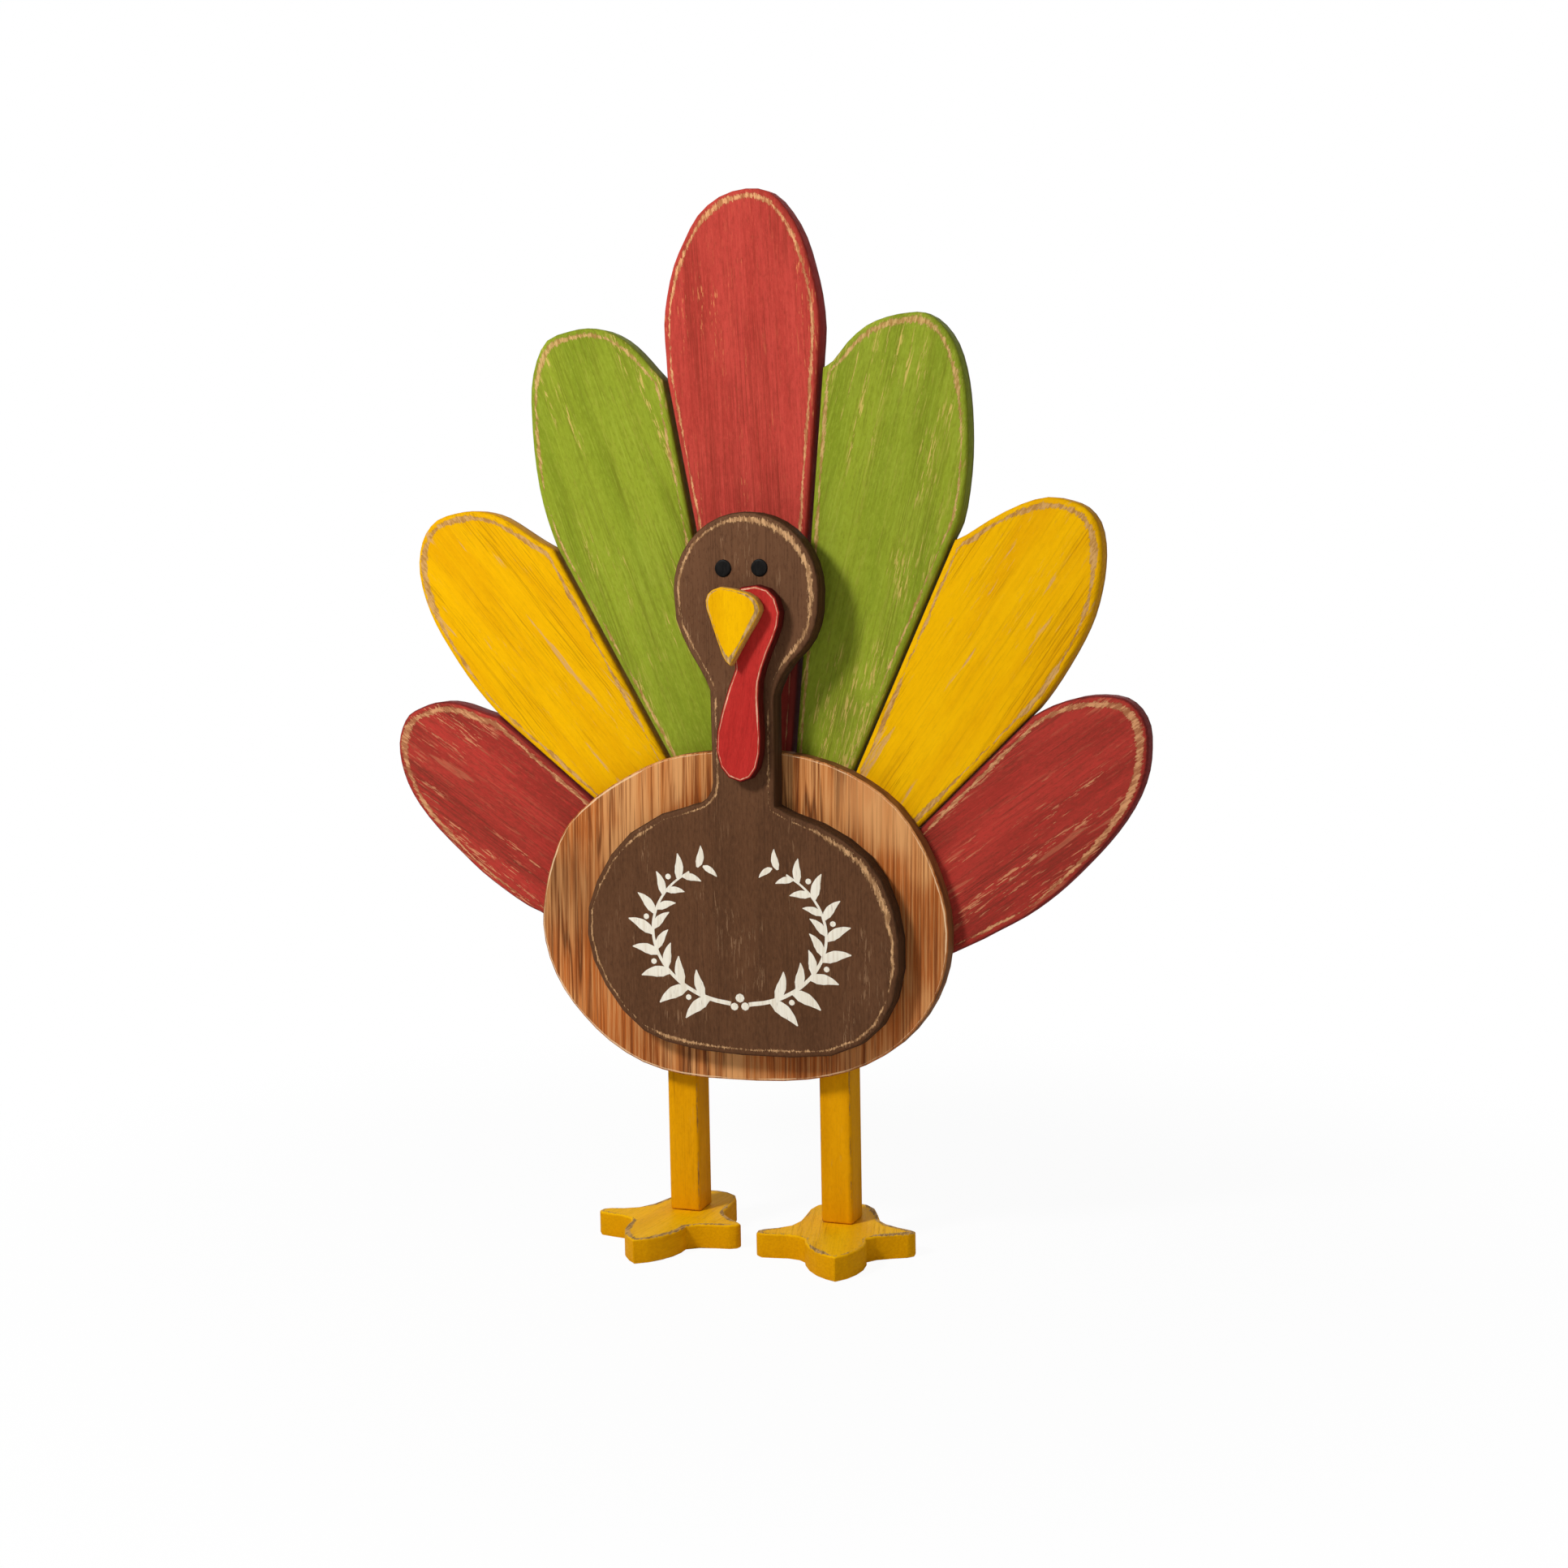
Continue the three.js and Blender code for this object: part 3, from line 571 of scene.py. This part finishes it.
tail = {  # lean in degrees, seed, slot, paint
    "feather_red_left": (-56.6, 1.0, "red_paint", redPaint),
    "feather_yellow_left": (-40.4, 2.3, "yellow_paint", yellowPaint),
    "feather_green_left": (-20.0, 3.1, "green_paint", greenPaint),
    "feather_centre": (-2.6, 4.7, "centre_red_paint", centreRedPaint),
    "feather_green_right": (15.0, 5.2, "green_paint", greenPaint),
    "feather_yellow_right": (35.3, 6.4, "yellow_paint", yellowPaint),
    "feather_red_right": (54.9, 7.9, "red_paint", redPaint),
}
finishes = {}
for node, (lean, seed, slot, paint) in tail.items():
    if slot not in finishes:
        finishes[slot] = paintedWood(slot.replace("_", " "), {**feather, **paint})
    corners = (corner.co for corner in frame["nodes"][node].data.vertices)
    tip = max(corners, key=leaning(lean).dot) * millimetres
    # wear at the tip, with the painted shade spots added
    worn = ((tip.x, tip.z, *feather["tipWear"]), *feather["paintedShade"].get(node, ()))
    board = cutBoard(node + "_board", node, {**feather, "along": leaning(lean), "seed": seed, "wearAndShadeAt": worn})
    settle(board, "figure", node, finishes[slot])
print("tail cut and painted")

# Disc, head board, wattle and beak

disc = {
    "rounding": 0.0014, "steps": 4, "pitch": 0.006, "along": leaning(1), "seed": 11.3,
    "pale": tone(220, 157, 97), "tan": tone(198, 122, 62), "orange": tone(184, 94, 32),
    "brown": tone(130, 66, 25), "dark": tone(84, 44, 18), "scorchAndShade": tone(98, 54, 24), "rings": 120,
    "wall": tone(136, 88, 48), "wallDeep": tone(100, 62, 32), "worn": tone(238, 200, 156), "wornShare": 0.8,
    "bandAt": 1.2, "bandWidth": (0.1, 0.6), "bandWorn": 0, "bandWander": 0.6, "flakes": 0.9,
    "wearAndShadeAt": (  # scorched, and painted shadow, where more than 0, bleached where less
        (108, 190, 30, 0.4), (-112, 205, 26, 0.45), (-124, 222, 12, 0.5), (-70, 120, 20, 0.35),
        (34, 296, 14, 0.3), (74, 268, 20, -0.6), (104, 244, 14, -0.4), (-96, 150, 16, -0.3),
        # the last two spots: painted shadow under the belly
        (56, 108, 16, 0.5), (14, 102, 18, 0.3)),
}
board = cutBoard("disc_board", "body_disc", disc)
settle(board, "figure", "body_disc", stainedWood("stained wood", disc))

head = {
    "rounding": 0.0024, "steps": 5, "pitch": 0.005, "along": leaning(0), "seed": 12.9,
    "main": tone(98, 65, 43), "deep": tone(88, 58, 38), "light": tone(109, 74, 51),
    # painted light: the head lighter towards the top
    "upper": tone(116, 80, 56), "upperFrom": (0.24, 0.34, 0.0, 0.6), "cloudy": 0.35, "mottled": 0.3,
    "rough": 0.58,
    "specky": 0.45, "streaky": 0.4, "lines": 0.4, "linesFrom": 0.54, "lineTone": tone(70, 45, 30),
    "scratches": 0.55, "scratchFrom": 0.57, "scratchTone": tone(160, 122, 90),
    "patches": 0.0, "patchFrom": 0.8,
    "wallFrom": 0.8, "wall": tone(82, 56, 36), "wallDeep": tone(60, 40, 26),
    "dirtAndShade": 0.5, "dirtAndShadeFrom": -6, "dirtAndShadeTone": tone(40, 27, 18),
    "worn": tone(212, 166, 118), "wornDeep": tone(150, 110, 74),
    "bandAt": 3.5, "bandWidth": (-0.3, 0.45), "bandWorn": 1.5, "bandWander": 1.8, "flakes": 5.0,
    "wearAndShadeAt": (
        (-8, 430, 16, 0.35), (22, 430, 14, 0.6), (40, 415, 12, 0.8), (50, 396, 12, 1.0), (54, 374, 12, 0.8),
        (40, 348, 10, 0.7), (24, 300, 16, 0.25), (58, 240, 14, 0.6), (80, 222, 14, 0.9), (94, 200, 12, 0.6),
        (97, 170, 14, 0.25), (-60, 238, 14, 0.4), (20, 118, 34, 0.35), (-40, 124, 20, 0.3),
        (-44, 404, 12, 0.35), (-47, 378, 12, 0.55), (-36, 350, 12, 0.6), (-23, 322, 12, 0.55),
        (-22, 290, 12, 0.35)),
}
board = cutBoard("head_shape", "head_board", head)
settle(board, "figure", "head_board", paintedWood("brown paint", head))

wattle = {
    "rounding": 0.0018, "steps": 4, "pitch": 0.003, "along": leaning(8), "seed": 14.1, "wearAndShadeAt": (),
    "main": tone(194, 50, 45), "deep": tone(178, 42, 38), "light": tone(204, 60, 52),
    "cloudy": 0.35, "mottled": 0.25, "rough": 0.55,
    "specky": 0.25, "streaky": 0.22, "lines": 0.3, "linesFrom": 0.56, "lineTone": tone(130, 34, 28),
    "scratches": 0.4, "scratchFrom": 0.66, "scratchTone": tone(220, 142, 112),
    "patches": 0.0, "patchFrom": 0.8,
    # its walls a far darker red than the front: painted shade
    "wallFrom": 1.1, "wall": tone(92, 26, 22), "wallDeep": tone(64, 18, 14),
    "dirtAndShade": 0.6, "dirtAndShadeFrom": -4, "dirtAndShadeTone": tone(50, 18, 14),
    "worn": tone(230, 176, 146), "wornDeep": tone(206, 134, 104),
    "bandAt": 1.5, "bandWidth": (0.25, 0.6), "bandWorn": 0, "bandWander": 0.5, "flakes": 0.9,
}
board = cutBoard("wattle_board", "wattle", wattle)
settle(board, "figure", "wattle", paintedWood("wattle paint", wattle))

beak = {
    "rounding": 0.0015, "steps": 4, "pitch": 0.0025, "along": leaning(0), "seed": 15.7,
    "main": tone(242, 182, 0), "deep": tone(232, 170, 0), "light": tone(248, 192, 4),
    "cloudy": 0.35, "mottled": 0.15, "rough": 0.52,
    "specky": 0.25, "streaky": 0.1, "lines": 0.2, "linesFrom": 0.6, "lineTone": tone(212, 146, 6),
    "scratches": 0.1, "scratchFrom": 0.7, "scratchTone": tone(236, 200, 120),
    "patches": 0.0, "patchFrom": 0.8,
    "wallFrom": 0.5, "wall": tone(208, 158, 80), "wallDeep": tone(168, 120, 56),
    "dirtAndShade": 0.5, "dirtAndShadeFrom": -4, "dirtAndShadeTone": tone(124, 84, 40),
    "worn": tone(212, 170, 112), "wornDeep": tone(158, 120, 74),
    "bandAt": 1.2, "bandWidth": (0.0, 0.7), "bandWorn": 0.8, "bandWander": 0.8, "flakes": 2.0,
    "wearAndShadeAt": ((22, 372, 8, 0.7), (6, 347, 5, 1.0)),
}
board = cutBoard("beak_board", "beak", beak)
settle(board, "figure", "beak", paintedWood("beak paint", beak))
print("body, head, wattle and beak cut and painted")

# Feet and legs

# the feet's mustard: a lighter copy of the legs' paint, its brighter tones painted light on the upturned tops
mustard = {
    "main": tone(254, 190, 4), "deep": tone(241, 174, 0), "light": tone(255, 200, 26),
    "cloudy": 0.4, "mottled": 0.25, "rough": 0.55,
    "specky": 0.25, "streaky": 0.18, "lines": 0.5, "linesFrom": 0.58, "lineTone": tone(190, 126, 6),
    "scratches": 0.5, "scratchFrom": 0.6, "scratchTone": tone(206, 164, 86),
    "patches": 0.3, "patchFrom": 0.7,
    "wallFrom": 0.2, "wall": tone(226, 160, 0), "wallDeep": tone(214, 146, 0),
    "dirtAndShade": 0.2, "dirtAndShadeFrom": -11, "dirtAndShadeTone": tone(160, 104, 14),
    "worn": tone(208, 164, 98), "wornDeep": tone(150, 114, 66),
    "bandAt": 1.7, "bandWidth": (-0.5, 2.0), "bandWorn": 0, "bandWander": 1.8, "flakes": 7.5,
}
litFootPaint = paintedWood("mustard paint", mustard)
foot = {
    "rounding": 0.0014, "steps": 4, "pitch": 0.004, "wearAndShadeAt": (),
    "screwRoom": 0.0028, "headRoom": 0.0052, "recess": 0.001, "headDepth": 0.003,
    "sides": 48, "boreDepth": 0.04, "slip": 0.0001, "overrun": 0.01,
    "left": (-3.4, 16.2), "right": (16.3, 17.8),  # turn of the front toe in degrees, seed
}


def boreFoot(board, pivot):  # the hole under the leg, opened out for the screw's head
    bore = started(
        bpy.ops.mesh.primitive_cylinder_add, "foot_bore", vertices=foot["sides"], radius=foot["screwRoom"],
        depth=foot["boreDepth"], location=(pivot.x, pivot.y, 0.0))
    mouth = started(
        bpy.ops.mesh.primitive_cone_add, "foot_mouth", vertices=foot["sides"], radius1=foot["headRoom"],
        radius2=foot["screwRoom"] - foot["slip"], depth=foot["headDepth"],
        location=(pivot.x, pivot.y, foot["recess"] + foot["headDepth"] / 2))
    editing(mouth)
    pick(mouth, "faces", lambda face: looks(face, -upwards))
    bpy.ops.mesh.extrude_region_move(TRANSFORM_OT_translate={"value": -upwards * foot["overrun"]})
    done()
    subtract(board, bore)
    subtract(board, mouth)


for side in ("left", "right"):
    turn, seed = foot[side]
    toe = Vector((math.sin(math.radians(turn)), -math.cos(math.radians(turn)), 0))
    board = cutBoard(side + "_foot_shape", side + "_foot", {**foot, "along": toe, "seed": seed}, upwards)
    low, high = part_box(side + "_leg")
    boreFoot(board, (low + high) / 2)
    settle(board, side + "_foot_board", side + "_foot", litFootPaint)

leg = {
    "corner": 0.0022, "steps": 5, "end": 0.001, "endSteps": 3, "rims": (0.0008, 0.0015, 0.002),
    "pitch": 0.006, "noEdge": 0.02, "left": 18.4, "right": 19.6,  # left and right are seeds
}
legPaint = paintedWood("leg mustard paint", {
    **mustard, "main": tone(228, 158, 2), "deep": tone(214, 144, 0), "light": tone(236, 172, 16),
    "wallFrom": -9, "bandAt": 0.4, "bandWidth": (-0.15, 0.3), "bandWander": 1.2, "flakes": 1.6,
    "worn": tone(196, 142, 62), "wornDeep": tone(152, 104, 42),
})


def squareLeg(node, seed):
    low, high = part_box(node)
    size = high - low
    wide = size.x * size.z / 2  # a face wider than this is one of the four walls
    post = started(bpy.ops.mesh.primitive_cube_add, node + "_post", size=1, location=(low + high) / 2)
    post.scale = size
    applyPlace()
    editing(post)
    pick(post, "edges", lambda edge: run(edge, upwards) > size.z / 2)
    bpy.ops.mesh.bevel(offset=leg["corner"], segments=leg["steps"], profile=0.5)
    pick(post, "edges", lambda edge: run(edge, upwards) < touching)
    bpy.ops.mesh.bevel(offset=leg["end"], segments=leg["endSteps"], profile=0.5, clamp_overlap=False)
    pick(post, "faces", lambda face: face.calc_area() > wide)
    for width in leg["rims"]:
        bpy.ops.mesh.inset(thickness=width, use_individual=True, use_even_offset=True)
    done()
    crossCuts(post, (upwards,), leg["pitch"])
    points = cornersOf(post)
    inside = np.sort(np.minimum(points - np.array(low), np.array(high) - points), axis=1)
    markEdges(post, inside[:, 1] - inside[:, 0], np.full(len(points), leg["noEdge"]))
    markGrain(post, upwards, seed)
    markWear(post, ())
    settle(post, "figure", node, legPaint)


for side in ("left", "right"):
    squareLeg(side + "_leg", leg[side])
print("feet and legs cut and painted")

# Eyes

eye = {
    "sides": 48, "dome": 0.0008, "domeSteps": 4, "flat": 0.0012,
    "main": tone(12, 10, 9), "second": tone(22, 20, 18), "brush": (900, 260, 4, 0.6), "blendFade": (0.4, 0.7),
    "roughFade": (0.3, 0.7, 0.34, 0.5), "bump": (0.3, 0.0001), "gloss": 0.08, "metal": 0.0,
}
blackPaint = plainCoat("black paint", eye)
for side in ("left", "right"):
    low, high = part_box(side + "_eye")
    size = high - low
    dot = started(
        bpy.ops.mesh.primitive_cylinder_add, side + "_eye_dot", vertices=eye["sides"], radius=size.x / 2,
        depth=size.y, location=(low + high) / 2, rotation=(math.pi / 2, 0, 0))
    applyPlace()
    editing(dot)
    pick(dot, "edges", lambda edge: all(corner.co.y < low.y + touching for corner in edge.verts))
    bpy.ops.mesh.bevel(offset=eye["dome"], segments=eye["domeSteps"], profile=0.5)
    pick(dot, "faces", lambda face: looks(face, towardsViewer))
    bpy.ops.mesh.inset(thickness=eye["flat"])
    done()
    settle(dot, "figure", side + "_eye", blackPaint)
print("eyes painted")

# Screws and brads

screw = {
    "headRadius": 0.004, "headHeight": 0.0022, "shank": 0.002, "point": 0.004, "domeSteps": 8,
    "flatRadius": 0.0045, "flatHeight": 0.003, "flatShank": 0.00225,
    "recess": 0.0011, "slotLength": 0.0042, "slotWidth": 0.0009, "steps": 32, "smooth": 30,
    "stops": 12, "stopTurn": 0.26,  # each screw stopped turning somewhere else, in radians
    "main": tone(176, 172, 164), "second": tone(138, 132, 122), "brush": (1400, 500, 4, 0.6),
    "blend": (190, 190, 3), "blendFade": (0.4, 0.7), "roughFade": (0.3, 0.7, 0.28, 0.5),
    "bump": (0.25, 0.00005), "gloss": 0.5, "metal": 1.0,
}
brightSteel = plainCoat("bright steel", screw)


def turnedScrew(name, profile):  # a profile in radius and height, spun round the upright axis
    piece = started(bpy.ops.mesh.primitive_plane_add, name, size=1)
    editing(piece)
    takeAll()
    bpy.ops.mesh.delete(type="VERT")
    mesh = bmesh.from_edit_mesh(piece.data)
    corners = [mesh.verts.new((radius, 0, height)) for radius, height in profile]
    for first, second in zip(corners, corners[1:]):
        mesh.edges.new((first, second))
    bmesh.update_edit_mesh(piece.data)
    takeAll()
    bpy.ops.mesh.spin(steps=screw["steps"], angle=math.tau, center=(0, 0, 0), axis=upwards)
    merge()
    bpy.ops.mesh.normals_make_consistent(inside=False)
    done()
    return piece


def crossSlot(piece, top):  # the cross recess, cut with two thin bars
    for turn in (0, math.pi / 2):
        bar = started(bpy.ops.mesh.primitive_cube_add, "slot_bar", size=1, location=(0, 0, top))
        bar.rotation_euler.z = turn
        bar.scale = (screw["slotLength"], screw["slotWidth"], screw["recess"] * 2)
        subtract(piece, bar)


def shank(radius, length):
    return [(radius, screw["point"] - length), (0.0, -length)]


def domedProfile(length):
    radius, height = screw["headRadius"], screw["headHeight"]
    turns = np.linspace(0, math.pi / 2, screw["domeSteps"])
    dome = [(radius * math.sin(turn), height * math.cos(turn)) for turn in turns]
    return dome + [(screw["shank"], 0.0)] + shank(screw["shank"], length)


def flatProfile(length):
    neck = (screw["flatShank"], -screw["flatHeight"])
    return [(0.0, 0.0), (screw["flatRadius"], 0.0), neck] + shank(screw["flatShank"], length)


def placeScrew(node, pattern, turn):
    low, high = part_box(node)
    middle = (low + high) / 2
    piece = copied(node + "_cross", pattern)
    if node.endswith("foot_screw"):  # from below
        seat, tip = Vector((middle.x, middle.y, low.z)), Euler((math.pi, 0, 0))
    else:  # from behind
        seat, tip = Vector((middle.x, high.y - screw["headHeight"], middle.z)), Euler((-math.pi / 2, 0, 0))
    piece.matrix_world = Matrix.Translation(seat) @ tip.to_matrix().to_4x4() @ Matrix.Rotation(turn, 4, "Z")
    only(piece)
    applyPlace()
    settle(piece, "figure", node, brightSteel, screw["smooth"])


patterns = {}
for node in frame["nodes"]:
    if "screw" not in node:
        continue
    low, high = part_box(node)
    if node.endswith("foot_screw"):
        key, top, profile = "flat", 0.0, flatProfile(high.z - low.z)
    else:
        length = high.y - low.y - screw["headHeight"]
        key, top, profile = round(length, 4), screw["headHeight"], domedProfile(length)
    if key not in patterns:
        patterns[key] = turnedScrew("screw_pattern", profile)
        crossSlot(patterns[key], top)
    placeScrew(node, patterns[key], sum(map(ord, node)) % screw["stops"] * screw["stopTurn"])
for pattern in patterns.values():
    bpy.data.objects.remove(pattern)
for node, piece in frame["nodes"].items():
    if "brad" in node:
        finishedIn(piece, brightSteel)
print("screws driven")

# Painted wreath on the belly

wreath = {  # millimetres and degrees, but leaves lean in radians
    "middle": (0.5, 190.0), "across": 54, "up": 42, "thickShare": 0.04, "smooth": 60,
    "roundSteps": 4, "lineSteps": 10,
    "stem": 1.1, "stemTurns": range(6, 160, 14), "stemFull": 1.25, "stemTaper": 220,
    "leaves": 9, "leafFrom": 20, "leafSpan": 132, "leafLength": 20, "leafHalf": 3.5, "bend": 0.22,
    "aimTurn": 2, "leafShares": (
        (0.04, 0.3, 0.5), (0.26, 0.95, 0.3), (0.5, 1.0, 0.0), (0.76, 0.62, -0.35), (1.0, 0.12, -0.7)),
    "sizeShares": (1.04, -0.045, 0.05, 2.1),  # lowest leaf, more for each leaf, hand's swing and its pace
    "outward": (-0.78, -0.06, 1.7), "inward": (0.7, 0.07, 2.3),  # lean, hand's swing and its pace
    "inwardLater": 4, "inwardShare": 0.82,
    "berry": 2.5, "berryShares": ((-1, 0.12), (-0.72, 0.7), (0, 1), (0.72, 0.7), (1, 0.12)),
    "berryLater": 13.2, "berryOut": 4.9, "berryShare": 0.72,
    "bunch": ((-3.4, -43.4, 0.95), (3.3, -43.0, 1.0), (0.1, -38.2, 1.1)),
    "main": tone(240, 233, 216), "second": tone(226, 215, 194), "showing": tone(126, 94, 70),
    "brush": (700, 24, 4, 0.6), "blendFade": (0.4, 0.7), "roughFade": (0.3, 0.7, 0.5, 0.64),
    "bare": (1100, 90, 5, 0.7), "bareFade": (0.6, 0.7, 0.0, 0.6), "bump": (0.3, 0.0001),
    "gloss": 0.1, "metal": 0.0,
}


def brushStroke(points):  # a painted line through points of across, up and half width
    line = started(bpy.ops.curve.primitive_bezier_curve_add, "stroke")
    spline = line.data.splines[0]
    spline.bezier_points.add(len(points) - 2)
    for knot, (x, z, half) in zip(spline.bezier_points, points):
        knot.co = (x / millimetres, 0, z / millimetres)
        knot.radius = half
        knot.handle_left_type = knot.handle_right_type = "AUTO"
    line.data.dimensions = "3D"
    line.data.bevel_depth = 1 / millimetres
    line.data.bevel_resolution = wreath["roundSteps"]
    line.data.resolution_u = wreath["lineSteps"]
    line.data.use_fill_caps = True
    only(line)
    bpy.ops.object.convert(target="MESH")
    return bpy.context.object


def onRing(side, turn, spread=0.0):  # a place on the wreath's oval, its turn counted from the bottom
    x, z = wreath["middle"]
    angle = math.radians(turn)
    x += side * (wreath["across"] + spread) * math.sin(angle)
    z -= (wreath["up"] + spread) * math.cos(angle)
    return x, z


def stemStroke(side):
    points = []
    for turn in wreath["stemTurns"]:
        half = wreath["stem"] * (wreath["stemFull"] - turn / wreath["stemTaper"])
        points.append((*onRing(side, turn), half))
    return brushStroke(points)


def leafStroke(side, turn, aside, size):
    x, z = onRing(side, turn)
    ahead, behind = onRing(side, turn + wreath["aimTurn"]), onRing(side, turn - wreath["aimTurn"])
    heading = math.atan2(ahead[1] - behind[1], ahead[0] - behind[0]) + side * aside
    bend = side * math.copysign(wreath["bend"], aside)
    length, half = wreath["leafLength"] * size, wreath["leafHalf"] * size
    points = []
    for out, width, lean in wreath["leafShares"]:
        angle = heading - bend * lean
        points.append((x + math.cos(angle) * length * out, z + math.sin(angle) * length * out, half * width))
    return brushStroke(points)


def berryStroke(x, z, size):
    radius = wreath["berry"] * size
    return brushStroke([(x + radius * out, z, radius * half) for out, half in wreath["berryShares"]])


def leafPair(side, place):  # two leaves on the stem, and a berry beside every second pair but the last
    full, shrink, swing, pace = wreath["sizeShares"]
    last = wreath["leaves"] - 1
    turn = wreath["leafFrom"] + place * wreath["leafSpan"] / last
    size = full + place * shrink + swing * math.sin(place * pace + side)
    lean, swing, pace = wreath["outward"]
    pair = [leafStroke(side, turn, lean + swing * math.sin(place * pace), size)]
    lean, swing, pace = wreath["inward"]
    later, smaller = turn + wreath["inwardLater"], size * wreath["inwardShare"]
    pair.append(leafStroke(side, later, lean + swing * math.cos(place * pace), smaller))
    if place % 2 == 0 and place < last:
        spot = onRing(side, turn + wreath["berryLater"], wreath["berryOut"])
        pair.append(berryStroke(*spot, wreath["berryShare"]))
    return pair


strokes = []
for side in (-1, 1):
    strokes.append(stemStroke(side))
    for place in range(wreath["leaves"]):
        strokes += leafPair(side, place)
for x, z, size in wreath["bunch"]:
    strokes.append(berryStroke(x + wreath["middle"][0], z + wreath["middle"][1], size))
only(strokes[0])
for stroke in strokes:
    stroke.select_set(True)
bpy.ops.object.join()
wreathPaint = bpy.context.object
wreathPaint.name = "belly_wreath"
wreathPaint.scale = (1, wreath["thickShare"], 1)
wreathPaint.location = (0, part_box("head_board")[0][1], 0)
applyPlace()
bpy.ops.object.shade_smooth_by_angle(angle=math.radians(wreath["smooth"]))
finishedIn(wreathPaint, plainCoat("cream paint", wreath))
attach(wreathPaint, "figure")
print("belly painted")

# Floor, light and camera

room = {
    "floor": 8.0, "floorTone": (0.9, 0.9, 0.9, 1), "floorRough": 0.9, "floorGloss": 0.1,
    "whiteFade": (0.25, 0.7, 0.95, 1.0), "sky": 0.19, "aim": (0, 0, 0.3),
    "lamps": {  # place, width, power
        "key": ((-0.62, -1.1, 1.2), 0.34, 18.8),
        "fill": ((1.8, -1.0, 0.9), 1.4, 4.8),
        "back": ((-0.3, 1.6, 1.1), 1.2, 5.0)},
}
white = (1, 1, 1, 1)


def paleFloor():  # a lit floor that goes white with distance, for the camera alone
    material, tree, shader = newFinish("pale floor")
    shader.inputs["Base Color"].default_value = room["floorTone"]
    shader.inputs["Roughness"].default_value = room["floorRough"]
    shader.inputs["Specular IOR Level"].default_value = room["floorGloss"]
    away = put(tree, "VectorMath", {0: placeOn(tree)}, operation="LENGTH").outputs["Value"]
    seen = put(tree, "LightPath", {}).outputs["Is Camera Ray"]
    share = times(tree, fade(tree, away, *room["whiteFade"]), seen)
    bright = put(tree, "Emission", {"Color": white, "Strength": 1.0})
    both = put(tree, "MixShader", {0: share, 1: shader.outputs[0], 2: bright.outputs[0]})
    tree.links.new(both.outputs[0], tree.nodes["Material Output"].inputs["Surface"])
    return material


def studioSky():  # white to the eye and in reflections, dimmer as a light
    world = bpy.data.worlds.new("studio")
    world.use_nodes = True
    tree = world.node_tree
    rays = put(tree, "LightPath", {}).outputs
    direct = sums(tree, "MAXIMUM", rays["Is Camera Ray"], rays["Is Glossy Ray"])
    direct = sums(tree, "MAXIMUM", direct, rays["Is Transmission Ray"])
    level = put(tree, "MapRange", {"Value": direct, "To Min": room["sky"], "To Max": 1.0}).outputs["Result"]
    sky = tree.nodes["Background"]
    sky.inputs["Color"].default_value = white
    tree.links.new(level, sky.inputs["Strength"])
    return world


def lamp(name, place, width, power):
    bpy.ops.object.light_add(type="AREA", location=place)
    light = bpy.context.object
    light.name = name
    light.rotation_euler = (Vector(room["aim"]) - Vector(place)).to_track_quat("-Z", "Y").to_euler()
    light.data.shape = "DISK"
    light.data.size = width
    light.data.energy = power


floor = started(bpy.ops.mesh.primitive_plane_add, "floor", size=room["floor"])
floor.data.materials.append(paleFloor())
bpy.context.scene.world = studioSky()
for name, (place, width, power) in room["lamps"].items():
    lamp(name, place, width, power)

shot = {
    "place": (0.5186, -1.2898, 0.4132), "yaw": 20.99, "pitch": 5.70, "roll": -1.05,
    "lens": 55.13, "sensor": 36, "reach": 50,
}
bpy.ops.object.camera_add(location=shot["place"])
camera = bpy.context.object
aim = Euler((math.radians(90 - shot["pitch"]), 0, math.radians(shot["yaw"]))).to_matrix()
aim = aim @ Matrix.Rotation(math.radians(shot["roll"]), 3, "Z")
camera.matrix_world = Matrix.Translation(shot["place"]) @ aim.to_4x4()
camera.data.sensor_width = shot["sensor"]
camera.data.lens = shot["lens"]
camera.data.clip_end = shot["reach"]
bpy.context.scene.camera = camera
bpy.context.scene.view_settings.view_transform = "Standard"
print("lit and framed")

bpy.context.view_layer.update()
